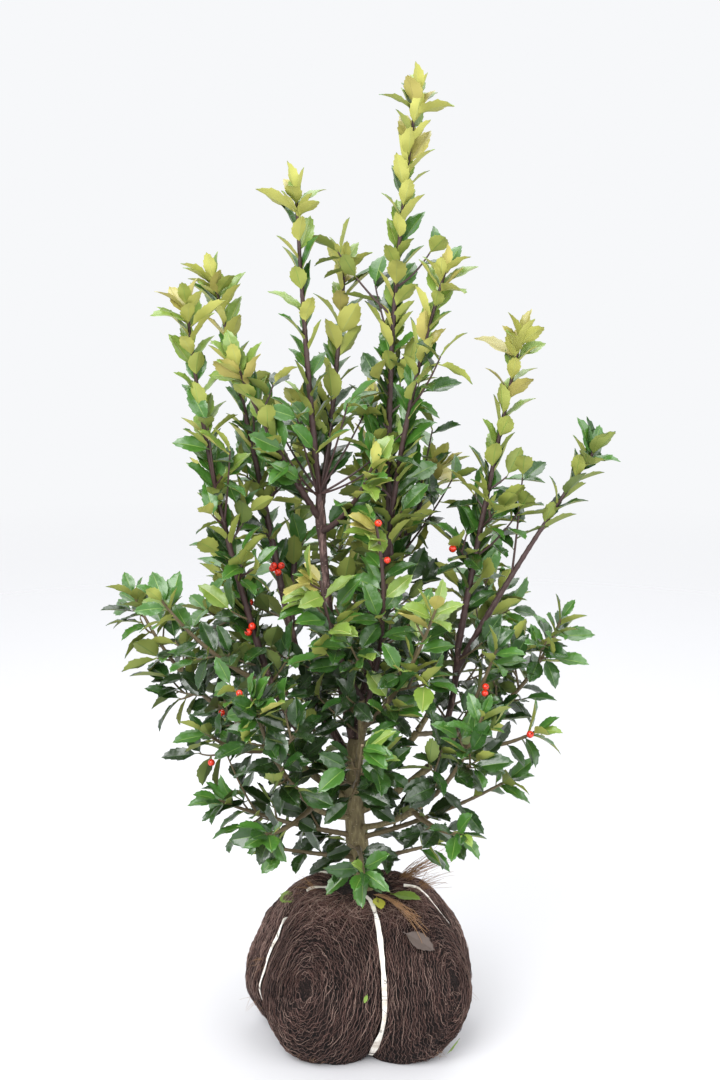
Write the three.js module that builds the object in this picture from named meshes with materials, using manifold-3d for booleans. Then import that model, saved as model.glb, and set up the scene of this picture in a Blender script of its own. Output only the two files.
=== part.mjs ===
// A meserve holly lifted with its root ball, which is wrapped in coir and tied with white bands.
// Millimetres, +Z up. The viewer stands at -Y, and the origin is the middle of the ball's flat underside.

import * as THREE from 'three';
import { mergeVertices } from 'three/addons/utils/BufferGeometryUtils.js';
import Module from 'manifold-3d';

const wasm = await Module();
wasm.setup();

// Clearances
const GAP = 0.3;
const INFLATE = 0.34;
const SPACE_MARGIN = 1.4;
const LIMB_MARGIN = 4.5;
const BALL_MARGIN = 9;

// Root ball: a squat bell with five lobes, pulled in by the bands that run down its grooves
const BALL_RADIUS = 148;
const BALL_DEPTH = 0.87;
const BALL_TOP = 205;
const BALL_SINK = 45;
const BALL_SHOULDER = 0.42;
const BALL_TUCK = 1.5;
const BALL_LOW = 1.12;
const DIMPLE_DEPTH = 16;
const DIMPLE_SHARE = 0.05;
const BALL_LOBES = 5;
const LOBE_ANGLE = (2 * Math.PI) / BALL_LOBES;
const GROOVE_ANGLE = THREE.MathUtils.degToRad(-80);
const GROOVE_DEPTH = 0.19;
const GROOVE_DROP = 6;
const GROOVE_SHARP = 0.62;
const LOBE_COLUMNS = 8;
const BALL_ROWS = 15;

// Bands over the grooves, counted in rows of the ball
const BAND_WIDTH = 11;
const BAND_THICK = 1.6;
const BAND_EASE = 0.1;
const BAND_FIRST_ROW = 2;
const BAND_LAST_ROW = 10;

// Trunk: from the ball's crown to the fork
const TRUNK_FOOT = [9, 0, BALL_TOP - DIMPLE_DEPTH + GAP];
const TRUNK_FORK = [-5, 0, 398];
const TRUNK_BOW = [-9, 0, 0];
const TRUNK_RADII = [12.8, 9.5];
const TRUNK_FLARE = 4.5;
const FLARE_SHARE = 0.07;

// Limbs leave a carrier at a share of its length, and bow away from the straight line to their tip
const BOUGHS = [
  { name: 'bough_leader', on: 'trunk', at: 1, tip: [38, 8, 590], bow: [-3, 3, 0], radii: [7.6, 5.6] },
  { name: 'bough_pollard', on: 'trunk', at: 0.93, tip: [-48, -8, 700], bow: [-7, -3, 0], radii: [6.6, 5.6] },
  { name: 'bough_left_inner', on: 'trunk', at: 0.84, tip: [-96, 18, 585], bow: [-10, 4, -14], radii: [5.6, 4.6] },
  { name: 'bough_left_outer', on: 'trunk', at: 0.72, tip: [-116, -30, 505], bow: [-10, -6, -12], radii: [5.8, 4.8] },
  { name: 'bough_left_main', on: 'trunk', at: 0.58, tip: [-122, -12, 408], bow: [-4, -2, 2], radii: [6.6, 5] },
  { name: 'bough_right_main', on: 'trunk', at: 0.52, tip: [128, -16, 414], bow: [6, -4, -8], radii: [6.6, 5] },
  { name: 'bough_right_upper', on: 'bough_right_main', at: 0.7, tip: [120, 8, 512], bow: [6, 3, 0], radii: [5, 4.4] },
  { name: 'bough_back_inner', on: 'trunk', at: 0.9, tip: [30, 58, 560], bow: [4, 8, -10], radii: [5.4, 4.4] },
  { name: 'bough_front_stems', on: 'trunk', at: 0.8, tip: [2, -62, 470], bow: [4, -10, -12], radii: [5.4, 4.4] },
  { name: 'bough_front_left', on: 'trunk', at: 0.5, tip: [-66, -82, 350], bow: [-4, -4, -6], radii: [5, 4] },
  { name: 'bough_front_right', on: 'trunk', at: 0.43, tip: [78, -80, 345], bow: [4, -4, -6], radii: [5, 4] },
  { name: 'bough_back_left', on: 'trunk', at: 0.66, tip: [-80, 84, 410], bow: [-5, 5, -8], radii: [5.2, 4.2] },
  { name: 'bough_back_middle', on: 'trunk', at: 0.76, tip: [-10, 100, 440], bow: [0, 8, -10], radii: [5.2, 4.2] },
  { name: 'bough_back_right', on: 'trunk', at: 0.62, tip: [86, 78, 400], bow: [5, 5, -8], radii: [5.2, 4.2] },
];

// Masses of foliage: each stem starts on its carrier, and reach is how long its lowest twigs grow
const MASSES = [
  { name: 'leaves_leader_shoot', on: 'bough_leader', at: 1, tip: [62, 24, 1144], bow: [-14, 6, 0], reach: 84 },
  { name: 'leaves_second_shoot', on: 'bough_leader', at: 0.82, tip: [106, -42, 962], bow: [-14, -10, 0], reach: 58 },
  { name: 'leaves_tall_left_shoot', on: 'bough_pollard', at: 1, tip: [-77, -14, 1045], bow: [-2, 0, 0], reach: 52 },
  { name: 'leaves_pollard_right', on: 'bough_pollard', at: 0.95, tip: [-20, 56, 945], bow: [2, 12, 0], reach: 60 },
  { name: 'leaves_pollard_left', on: 'bough_pollard', at: 0.92, tip: [-132, -66, 850], bow: [-4, -8, 0], reach: 60 },
  { name: 'leaves_pollard_front', on: 'bough_pollard', at: 0.88, tip: [14, -86, 790], bow: [2, -10, -10], reach: 66 },
  { name: 'leaves_left_inner_shoot', on: 'bough_left_inner', at: 1, tip: [-168, 58, 926], bow: [2, 6, 0], reach: 60 },
  { name: 'leaves_left_heart', on: 'bough_left_inner', at: 0.8, tip: [-74, 132, 770], bow: [0, 10, 0], reach: 84 },
  { name: 'leaves_left_outer_shoot', on: 'bough_left_outer', at: 1, tip: [-196, -40, 908], bow: [-12, 0, 0], reach: 62 },
  { name: 'leaves_left_shoulder', on: 'bough_left_outer', at: 0.84, tip: [-226, -84, 590], bow: [-6, -8, -8], reach: 66 },
  { name: 'leaves_left_far', on: 'bough_left_main', at: 1, tip: [-272, 14, 568], bow: [-12, 6, -22], reach: 72 },
  { name: 'leaves_left_reach', on: 'bough_left_main', at: 0.8, tip: [-208, -64, 430], bow: [0, -6, -12], reach: 72 },
  { name: 'leaves_right_high', on: 'bough_right_upper', at: 1, tip: [184, 18, 862], bow: [-2, 2, 0], reach: 60 },
  { name: 'leaves_right_far', on: 'bough_right_upper', at: 0.8, tip: [266, 4, 738], bow: [10, 2, -14], reach: 58 },
  { name: 'leaves_right_main', on: 'bough_right_main', at: 1, tip: [238, -24, 548], bow: [10, -4, -14], reach: 74 },
  { name: 'leaves_right_reach', on: 'bough_right_main', at: 0.86, tip: [204, -76, 430], bow: [0, -6, -8], reach: 72 },
  { name: 'leaves_right_rise', on: 'bough_right_main', at: 0.74, tip: [174, -86, 580], bow: [0, -10, -8], reach: 74 },
  { name: 'leaves_back_shoot', on: 'bough_back_inner', at: 1, tip: [104, 96, 740], bow: [-4, 6, 0], reach: 76 },
  { name: 'leaves_back_crown', on: 'bough_back_inner', at: 0.84, tip: [14, 150, 760], bow: [-4, 12, 0], reach: 88 },
  { name: 'leaves_front_left_stem', on: 'bough_front_stems', at: 1, tip: [-44, -122, 622], bow: [-6, -8, -4], reach: 66 },
  { name: 'leaves_front_stem', on: 'bough_front_stems', at: 0.82, tip: [20, -90, 680], bow: [16, -2, 0], reach: 58 },
  { name: 'leaves_front_right_stem', on: 'bough_front_stems', at: 0.72, tip: [84, -124, 590], bow: [4, -10, -12], reach: 72 },
  { name: 'leaves_front_left', on: 'bough_front_left', at: 1, tip: [-122, -150, 492], bow: [-4, -8, -8], reach: 80 },
  { name: 'leaves_front_left_low', on: 'bough_front_left', at: 0.8, tip: [-104, -178, 345], bow: [-2, -6, -6], reach: 78 },
  { name: 'leaves_front_right', on: 'bough_front_right', at: 1, tip: [138, -148, 470], bow: [4, -8, -8], reach: 80 },
  { name: 'leaves_front_right_low', on: 'bough_front_right', at: 0.8, tip: [112, -178, 345], bow: [2, -6, -6], reach: 78 },
  { name: 'leaves_front_middle', on: 'trunk', at: 0.7, tip: [2, -172, 446], bow: [0, -8, -12], reach: 80 },
  { name: 'leaves_front_skirt', on: 'trunk', at: 0.3, tip: [4, -150, 288], bow: [0, -4, 8], reach: 74 },
  { name: 'leaves_left_low', on: 'trunk', at: 0.38, tip: [-162, -70, 340], bow: [-4, -6, -16], reach: 70 },
  { name: 'leaves_left_skirt', on: 'trunk', at: 0.24, tip: [-104, -84, 288], bow: [0, -4, 0], reach: 62 },
  { name: 'leaves_right_low', on: 'trunk', at: 0.36, tip: [200, -50, 356], bow: [4, -6, -20], reach: 70 },
  { name: 'leaves_right_skirt', on: 'trunk', at: 0.22, tip: [108, -74, 282], bow: [0, -4, 0], reach: 62 },
  { name: 'leaves_back_left', on: 'bough_back_left', at: 1, tip: [-172, 150, 550], bow: [-6, 6, -10], reach: 88 },
  { name: 'leaves_back_left_low', on: 'bough_back_left', at: 0.8, tip: [-166, 132, 392], bow: [-6, 6, -10], reach: 88 },
  { name: 'leaves_back_middle', on: 'bough_back_middle', at: 1, tip: [-26, 206, 580], bow: [0, 10, -10], reach: 92 },
  { name: 'leaves_back_middle_low', on: 'bough_back_middle', at: 0.78, tip: [6, 216, 432], bow: [0, 6, -12], reach: 92 },
  { name: 'leaves_back_right', on: 'bough_back_right', at: 1, tip: [176, 138, 540], bow: [6, 6, -10], reach: 88 },
  { name: 'leaves_back_right_low', on: 'bough_back_right', at: 0.8, tip: [166, 134, 382], bow: [6, 6, -10], reach: 88 },
  { name: 'leaves_back_skirt', on: 'trunk', at: 0.32, tip: [-4, 158, 298], bow: [0, 6, -4], reach: 88 },
];

// How a mass grows
const SHOOT_STEP = 24;
const BUSH_STEP = 20;
const BUSH_REACH = 64;
const FIRST_NODE = 30;
const GOLDEN_TURN = THREE.MathUtils.degToRad(137.5);
const STEM_RADII = [3.8, 1.7];
const TWIG_RADII = [2.2, 1.4];
const TWIG_ANGLE = THREE.MathUtils.degToRad(52);
const TWIG_LIFT = 0.14;
const SHORTEST_TWIG = 22;
const FULLEST_SHARE = 0.35;
const START_REACH = 0.72;
const TIP_REACH = 0.62;
const AXIS_STEP = 8;

// Leaves, a little larger than life
const LEAF_LENGTH = 60;
const LEAF_WIDTH = 36;
const LEAF_FOLD = 2.8;
const LEAF_WIDEST = 0.46;
const LEAF_SUNK = 1.4;
const LEAF_CLEAR = 3.2;
const LEAF_REACH = 36;
const LEAF_ANGLE = THREE.MathUtils.degToRad(43);
const LEAF_TRIES = 6;
const LAST_TRY_SIZE = 0.8;
const TIP_ANGLE = THREE.MathUtils.degToRad(12);

// Berries sit in the leaf joints of a few masses
const BERRY_RADIUS = 4.6;
const BERRY_HANG = 3.7;
const BERRIES = {
  leaves_pollard_front: 1,
  leaves_front_left_stem: 2,
  leaves_front_right_stem: 2,
  leaves_front_left: 1,
  leaves_left_reach: 1,
  leaves_right_reach: 1,
  leaves_right_rise: 2,
};

const COLOURS = {
  coir: 0x4a382c,
  band: 0xe9e6df,
  bark: 0x6f6250,
  bough: 0x5b4a3c,
  foliage: 0x3f6b2c,
};

// Small helpers
const vector = (list) => new THREE.Vector3(...list);
const mix = THREE.MathUtils.lerp;

// A chain of chances that is the same every time, kept to whole numbers
function chances(seed) {
  let state = (seed * 7919 + 12345) % 2147483647;
  return () => {
    state = (state * 16807) % 2147483647;
    return state / 2147483647;
  };
}

function solidOf(geometry) {
  const bare = geometry.clone();
  bare.deleteAttribute('normal');
  bare.deleteAttribute('uv');
  const merged = mergeVertices(bare, 1e-4);
  return new wasm.Manifold(
    new wasm.Mesh({
      numProp: 3,
      vertProperties: merged.attributes.position.array,
      triVerts: new Uint32Array(merged.index.array),
    }),
  );
}

function geometryOf(solid) {
  const { vertProperties, triVerts } = solid.getMesh();
  const geometry = new THREE.BufferGeometry();
  geometry.setAttribute('position', new THREE.BufferAttribute(new Float32Array(vertProperties), 3));
  geometry.setIndex(new THREE.BufferAttribute(new Uint32Array(triVerts), 1));
  geometry.computeVertexNormals();
  return geometry;
}

// The largest body of a solid: loose scraps and sealed hollows are dropped
function largest(solid) {
  const bodies = solid.decompose();
  return bodies.reduce((best, body) => (body.volume() > best.volume() ? body : best));
}

// Two directions square to a tangent, which turn little along a gently bowed curve
function squareTo(tangent, reference) {
  const side = new THREE.Vector3().crossVectors(reference, tangent).normalize();
  const other = new THREE.Vector3().crossVectors(side, tangent).normalize();
  return { side, other };
}

function referenceFor(curve) {
  const chord = curve.getPoint(1).sub(curve.getPoint(0)).normalize();
  return Math.abs(chord.z) > 0.7 ? new THREE.Vector3(0, 1, 0) : new THREE.Vector3(0, 0, 1);
}

function bowedCurve(start, tip, bow) {
  const middle = start.clone().add(tip).multiplyScalar(0.5).addScaledVector(bow, 2);
  return new THREE.QuadraticBezierCurve3(start, middle, tip);
}

// A round limb along a curve, its radius given along its length, grown on every side by a little or none
function limbSolid(curve, radiusAt, sides, steps, grow = 0) {
  const geometry = new THREE.CylinderGeometry(1, 1, 1, sides, steps);
  const reference = referenceFor(curve);
  const place = geometry.attributes.position;
  for (let i = 0; i < place.count; i += 1) {
    const t = THREE.MathUtils.clamp(place.getY(i) + 0.5, 0, 1);
    const tangent = curve.getTangent(t);
    const { side, other } = squareTo(tangent, reference);
    const radius = radiusAt(t) + grow;
    const past = t === 0 ? -grow : t === 1 ? grow : 0;
    const at = curve
      .getPoint(t)
      .addScaledVector(side, place.getX(i) * radius)
      .addScaledVector(other, place.getZ(i) * radius)
      .addScaledVector(tangent, past);
    place.setXYZ(i, at.x, at.y, at.z);
  }
  return solidOf(geometry);
}

// Root ball

// Where the ball's outline lies, out from the axis and up, as a share runs from its crown to its foot
function ballOutline(share) {
  const angle = share * Math.PI;
  const out = BALL_RADIUS * Math.sin(angle) ** mix(BALL_SHOULDER, BALL_TUCK, share);
  const height = ((1 + Math.cos(angle)) / 2) ** BALL_LOW;
  const dimple = DIMPLE_DEPTH * Math.exp(-((share / DIMPLE_SHARE) ** 2));
  return { out, up: height * (BALL_TOP + BALL_SINK) - BALL_SINK - dimple };
}

// How far into a groove an azimuth lies: 1 on the line of a band, 0 on the back of a lobe
function grooveShare(azimuth) {
  const lobe = (azimuth - GROOVE_ANGLE) / LOBE_ANGLE;
  return 1 - Math.abs(Math.sin(Math.PI * lobe)) ** GROOVE_SHARP;
}

function ballPoint(share, azimuth) {
  const { out, up } = ballOutline(share);
  const pull = GROOVE_DEPTH * grooveShare(azimuth) * Math.sin(Math.PI * share) ** 0.5;
  const bulge = 1 + 0.03 * Math.sin(2 * azimuth + 2.8) + 0.015 * Math.sin(3 * azimuth + 2);
  const radius = out * (1 - pull) * bulge;
  const drop = GROOVE_DROP * grooveShare(azimuth) * Math.sin(Math.PI * share) ** 2;
  return new THREE.Vector3(radius * Math.cos(azimuth), BALL_DEPTH * radius * Math.sin(azimuth), up - drop);
}

// The columns straddle each groove, so that a band has a flat strip to lie on
function ballCorner(row, column) {
  return ballPoint(row / BALL_ROWS, GROOVE_ANGLE + ((column + 0.5) / LOBE_COLUMNS) * LOBE_ANGLE);
}

function ballSolid() {
  const columns = BALL_LOBES * LOBE_COLUMNS;
  const geometry = new THREE.SphereGeometry(1, columns, BALL_ROWS);
  const place = geometry.attributes.position;
  const uv = geometry.attributes.uv;
  for (let i = 0; i < place.count; i += 1) {
    const row = Math.floor(i / (columns + 1));
    const column = i % (columns + 1) % columns;
    const at = ballCorner(row, column);
    const pole = row === 0 || row === BALL_ROWS;
    place.setXYZ(i, pole ? 0 : at.x, pole ? 0 : at.y, at.z);
  }
  return solidOf(geometry).trimByPlane([0, 0, 1], 0);
}

// Bands: flat strips that lie in the grooves, from the foot of the trunk to near the ground
function bandSolid(index) {
  const edge = index * LOBE_COLUMNS;
  const middle = (row) => ballCorner(row, edge).add(ballCorner(row, edge - 1)).multiplyScalar(0.5);
  const rows = BAND_LAST_ROW - BAND_FIRST_ROW;
  const geometry = new THREE.BoxGeometry(1, 1, 1, 1, 1, rows);
  const place = geometry.attributes.position;
  for (let i = 0; i < place.count; i += 1) {
    const row = BAND_FIRST_ROW + Math.round((place.getZ(i) + 0.5) * rows);
    const across = ballCorner(row, edge).sub(ballCorner(row, edge - 1)).normalize();
    const along = middle(row + 1).sub(middle(row - 1)).normalize();
    const out = new THREE.Vector3().crossVectors(along, across);
    const width = mix(BAND_WIDTH * 0.6, BAND_WIDTH, Math.min(1, (row - BAND_FIRST_ROW) / 3));
    const at = middle(row)
      .addScaledVector(across, place.getX(i) * width)
      .addScaledVector(out, GAP + BAND_EASE + (place.getY(i) + 0.5) * BAND_THICK);
    place.setXYZ(i, at.x, at.y, at.z);
  }
  return solidOf(geometry);
}

// Limbs

function trunkRadius(t) {
  return mix(...TRUNK_RADII, t) + TRUNK_FLARE * Math.exp(-t / FLARE_SHARE);
}

function taper(radii) {
  return (t) => mix(radii[0], radii[1], t);
}

// Every limb by name, with its curve and its radius along it
const trunkCurve = bowedCurve(vector(TRUNK_FOOT), vector(TRUNK_FORK), vector(TRUNK_BOW));
const limbs = { trunk: { curve: trunkCurve, radiusAt: trunkRadius, sides: 10, steps: 9 } };
for (const bough of BOUGHS) {
  const start = limbs[bough.on].curve.getPoint(bough.at);
  limbs[bough.name] = {
    curve: bowedCurve(start, vector(bough.tip), vector(bough.bow)),
    radiusAt: taper(bough.radii),
    sides: 6,
    steps: 3,
  };
}

function limbShape(limb, grow) {
  return limbSolid(limb.curve, limb.radiusAt, limb.sides, limb.steps, grow);
}

// Points along a curve, no further apart than a given step
function axisPoints(curve, step) {
  const count = Math.max(2, Math.ceil(curve.getLength() / step));
  return curve.getSpacedPoints(count);
}

const limbAxes = Object.values(limbs).map((limb) => {
  const points = axisPoints(limb.curve, AXIS_STEP);
  return points.map((at, i) => ({ at, radius: limb.radiusAt(i / (points.length - 1)) }));
});

// Masses

const stems = MASSES.map((mass) => {
  const start = limbs[mass.on].curve.getPoint(mass.at);
  const curve = bowedCurve(start, vector(mass.tip), vector(mass.bow));
  return { mass, curve, length: curve.getLength(), axis: axisPoints(curve, AXIS_STEP) };
});

function nearest(point, axis) {
  let best = Infinity;
  for (const at of axis) {
    best = Math.min(best, point.distanceToSquared(at));
  }
  return Math.sqrt(best);
}

// A mass keeps the points that lie nearer its own stem than any other, clear of the limbs and the ball
function keepsToSpace(point, own, room) {
  const mine = nearest(point, stems[own].axis);
  for (let i = 0; i < stems.length; i += 1) {
    if (i !== own && nearest(point, stems[i].axis) - mine < 2 * (SPACE_MARGIN + room)) {
      return false;
    }
  }
  for (const axis of limbAxes) {
    for (const { at, radius } of axis) {
      if (point.distanceTo(at) < radius + room + LIMB_MARGIN) {
        return false;
      }
    }
  }
  const out = Math.hypot(point.x, point.y / BALL_DEPTH) / (BALL_RADIUS + BALL_MARGIN);
  const up = (point.z - BALL_TOP / 2) / (BALL_TOP / 2 + BALL_MARGIN);
  return out * out + up * up > 1 && point.z > BALL_MARGIN;
}

// How far from its stem a mass reaches, as a share of its longest reach
function reachShare(t) {
  if (t < FULLEST_SHARE) {
    return mix(START_REACH, 1, t / FULLEST_SHARE);
  }
  return mix(1, TIP_REACH, (t - FULLEST_SHARE) / (1 - FULLEST_SHARE));
}

// The direction that leaves a tangent at an angle, turned round it
function leaving(tangent, turn, angle) {
  const reference = Math.abs(tangent.z) > 0.7 ? new THREE.Vector3(0, 1, 0) : new THREE.Vector3(0, 0, 1);
  const { side, other } = squareTo(tangent, reference);
  const outward = side.multiplyScalar(Math.cos(turn)).addScaledVector(other, Math.sin(turn));
  return tangent.clone().multiplyScalar(Math.cos(angle)).addScaledVector(outward, Math.sin(angle));
}

// A leaf's own axes: along it, across it, and out of its upper face, which looks up its twig and to the sky
function leafAxes(direction, tangent) {
  const upper = tangent.clone().multiplyScalar(0.7).add(new THREE.Vector3(0, 0, 0.6));
  upper.addScaledVector(direction, -upper.dot(direction)).normalize();
  return { along: direction, across: new THREE.Vector3().crossVectors(direction, upper), upper };
}

function leafPoint({ root, axes, size }, along, across, up) {
  return root
    .clone()
    .addScaledVector(axes.along, along * LEAF_LENGTH * size)
    .addScaledVector(axes.across, across * LEAF_WIDTH * size)
    .addScaledVector(axes.upper, up);
}

// Points all over a leaf but its root
function leafPoints(leaf) {
  const points = [];
  for (let step = 3; step <= 10; step += 1) {
    const along = step / 10;
    const half = 0.5 * (along < LEAF_WIDEST ? along / LEAF_WIDEST : (1 - along) / (1 - LEAF_WIDEST));
    for (const across of [-half, 0, half]) {
      points.push(leafPoint(leaf, along, across, (LEAF_FOLD / 2) * leaf.size));
    }
  }
  return points;
}

// A leaf of four faces: its midrib is the lower edge, and the line across its widest place the upper one
function leafSolid(leaf) {
  const geometry = new THREE.TetrahedronGeometry(Math.sqrt(3), 0);
  const place = geometry.attributes.position;
  for (let i = 0; i < place.count; i += 1) {
    const [x, y, z] = [place.getX(i), place.getY(i), place.getZ(i)];
    const upper = z > 0;
    const along = upper ? LEAF_WIDEST : (1 + (y - x) / 2) / 2;
    const at = leafPoint(leaf, along, upper ? (x + y) / 4 : 0, upper ? LEAF_FOLD * leaf.size : 0);
    place.setXYZ(i, at.x, at.y, at.z);
  }
  return solidOf(geometry);
}

function berrySolid(at) {
  const geometry = new THREE.IcosahedronGeometry(BERRY_RADIUS, 0);
  geometry.translate(at.x, at.y, at.z);
  return solidOf(geometry);
}

// A twig runs straight out from its stem and a little up, towards the light
function twigCurve(start, direction, length) {
  const tip = start.clone().addScaledVector(direction, length);
  tip.z += TWIG_LIFT * length;
  return new THREE.LineCurve3(start, tip);
}

function twigFits(curve, own) {
  const points = axisPoints(curve, 6);
  return points.slice(2).every((at) => keepsToSpace(at, own, TWIG_RADII[0]));
}

// A leaf that leaves its mass's space, or lies on another leaf or twig of it, is skipped
function leafFits(points, own, woods, leaves) {
  const free = (at) =>
    keepsToSpace(at, own, LEAF_FOLD / 2) &&
    woods.every((axis) => nearest(at, axis) > LEAF_CLEAR) &&
    leaves.every((leaf) => nearest(at, leaf.points) > LEAF_CLEAR);
  return points.every(free);
}

// A mass has a stem with a node at every step: a twig where the mass reaches past a leaf, else a leaf
function growMass(own) {
  const { mass, curve, length } = stems[own];
  const chance = chances(own + 1);
  const nodeStep = mass.reach > BUSH_REACH ? BUSH_STEP : SHOOT_STEP;
  const carriers = [{ curve, first: FIRST_NODE, turn: chance() * 2 * Math.PI, twiggy: true }];
  const buds = [];
  for (const { curve: wood, first, turn, twiggy } of carriers) {
    const woodLength = wood.getLength();
    let angle = turn;
    let count = 0;
    for (let along = first; along < woodLength - nodeStep * 0.4; along += nodeStep) {
      const t = along / woodLength;
      const reach = mass.reach * reachShare(along / length) * mix(0.8, 1, chance()) - LEAF_REACH;
      angle += GOLDEN_TURN;
      count += 1;
      if (twiggy && reach > SHORTEST_TWIG && count % 2 === 0) {
        const direction = leaving(wood.getTangent(t), angle, TWIG_ANGLE);
        const twig = twigCurve(wood.getPoint(t), direction, reach / Math.sin(TWIG_ANGLE));
        if (twigFits(twig, own)) {
          carriers.push({ curve: twig, first: nodeStep * 0.7, turn: angle, twiggy: false });
        }
      } else {
        buds.push({ wood, t, angle, spread: LEAF_ANGLE });
      }
    }
    buds.push({ wood, t: 1, angle: angle + GOLDEN_TURN, spread: TIP_ANGLE });
  }
  const woods = carriers.map((carrier) => axisPoints(carrier.curve, 5));
  const leaves = [];
  for (const { wood, t, angle, spread } of buds) {
    const tangent = wood.getTangent(t);
    const lean = spread * mix(0.8, 1.2, chance());
    const size = mix(0.86, 1.08, chance());
    for (let turned = 0; turned < LEAF_TRIES; turned += 1) {
      const axes = leafAxes(leaving(tangent, angle + turned * GOLDEN_TURN, lean), tangent);
      const root = wood.getPoint(t).addScaledVector(axes.along, -LEAF_SUNK);
      const leaf = { root, axes, size: size * mix(1, LAST_TRY_SIZE, turned / (LEAF_TRIES - 1)) };
      leaf.points = leafPoints(leaf);
      if (leafFits(leaf.points, own, woods, leaves)) {
        leaves.push(leaf);
        break;
      }
    }
  }
  return { twigs: carriers.slice(1).map((carrier) => carrier.curve), leaves };
}

function massSolid(own) {
  const { mass, curve } = stems[own];
  const { twigs, leaves } = growMass(own);
  const parts = [limbSolid(curve, taper(STEM_RADII), 3, 5)];
  parts.push(...twigs.map((twig) => limbSolid(twig, taper(TWIG_RADII), 3, 1)));
  parts.push(...leaves.map(leafSolid));
  const berries = BERRIES[mass.name] ?? 0;
  for (let i = 0; i < Math.min(berries, leaves.length); i += 1) {
    const leaf = leaves[Math.floor((leaves.length * (i + 0.5)) / berries)];
    parts.push(berrySolid(leaf.root.clone().addScaledVector(leaf.axes.upper, -BERRY_HANG)));
  }
  const joined = wasm.Manifold.union(parts).subtract(limbShape(limbs[mass.on], INFLATE));
  return largest(joined).simplify(0.02);
}

// The plant, piece by piece

const group = new THREE.Group();

function addMesh(name, solid, colour, roughness) {
  const material = new THREE.MeshStandardMaterial({ color: colour, roughness, metalness: 0 });
  const mesh = new THREE.Mesh(geometryOf(solid), material);
  mesh.name = name;
  group.add(mesh);
}

addMesh('root_ball', ballSolid().subtract(limbShape(limbs.trunk, INFLATE)), COLOURS.coir, 0.95);
for (let i = 0; i < BALL_LOBES; i += 1) {
  addMesh(`band_${i + 1}`, bandSolid(i), COLOURS.band, 0.6);
}

addMesh('trunk', limbShape(limbs.trunk, 0), COLOURS.bark, 0.85);
for (const [index, bough] of BOUGHS.entries()) {
  const older = [bough.on, ...BOUGHS.slice(0, index).map((other) => other.name)];
  const room = wasm.Manifold.union(older.map((name) => limbShape(limbs[name], INFLATE)));
  addMesh(bough.name, largest(limbShape(limbs[bough.name], 0).subtract(room)), COLOURS.bough, 0.8);
}
for (let i = 0; i < MASSES.length; i += 1) {
  addMesh(MASSES[i].name, massSolid(i), COLOURS.foliage, 0.5);
}

export default group;
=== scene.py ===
# %% [markdown]
# A young holly lifted with its root ball
#
# The real plant is a small evergreen shrub, lifted from a field with the soil round its roots. The ball is
# wrapped in coir, and white straps draw it in to lobes. A short trunk stands in it, with boughs that carry
# upright shoots of spiny leaves, and a few red berries. It could be modelled shoot by shoot by hand, or
# grown by a rule. Here the limbs are placed one by one, as in the fixed CAD frame that this script loads,
# and a seeded rule grows twigs, leaves and berries from them. The units are metres, +Z is up and the
# plant's front looks along -Y, as in the frame.

# %% Load the fixed frame
import math

import bmesh
import bpy
import numpy as np
from mathutils import Matrix, Vector, noise


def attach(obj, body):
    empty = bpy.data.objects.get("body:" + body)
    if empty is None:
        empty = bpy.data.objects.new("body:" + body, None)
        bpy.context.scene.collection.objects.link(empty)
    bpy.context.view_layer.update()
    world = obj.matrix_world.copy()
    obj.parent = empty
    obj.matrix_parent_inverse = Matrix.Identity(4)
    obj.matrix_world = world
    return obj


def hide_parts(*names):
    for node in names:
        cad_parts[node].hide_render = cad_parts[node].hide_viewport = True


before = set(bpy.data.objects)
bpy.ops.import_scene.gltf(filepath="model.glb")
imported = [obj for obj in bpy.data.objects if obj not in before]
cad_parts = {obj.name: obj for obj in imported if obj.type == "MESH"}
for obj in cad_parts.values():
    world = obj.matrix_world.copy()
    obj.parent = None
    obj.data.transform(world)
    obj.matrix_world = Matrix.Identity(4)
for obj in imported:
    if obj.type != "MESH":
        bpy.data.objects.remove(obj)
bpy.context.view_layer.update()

# %% [markdown]
# Shader maths as plain expressions
#
# Each finish is a small network of nodes. Wiring them one by one is hard to read, so one class wraps a
# socket and lets Python's own operators add Math nodes, and one method adds any other node from its type,
# its settings and the values or links of its sockets.

# %% Wires and finishes
def math_node(operation, swapped=False):
    """A method that lets one of Python's operators add a Math node."""
    def add_node(wire, other):
        first, second = (other, wire) if swapped else (wire, other)
        return wire.finish.node("ShaderNodeMath", {"operation": operation}, {0: first, 1: second})
    return add_node


class Wire:
    """The output of a node, on which plain operators add Math nodes."""

    def __init__(self, finish, socket):
        self.finish = finish
        self.socket = socket

    __add__ = math_node("ADD")
    __radd__ = math_node("ADD", swapped=True)
    __sub__ = math_node("SUBTRACT")
    __mul__ = math_node("MULTIPLY")
    __rmul__ = math_node("MULTIPLY", swapped=True)
    __pow__ = math_node("POWER")


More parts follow.
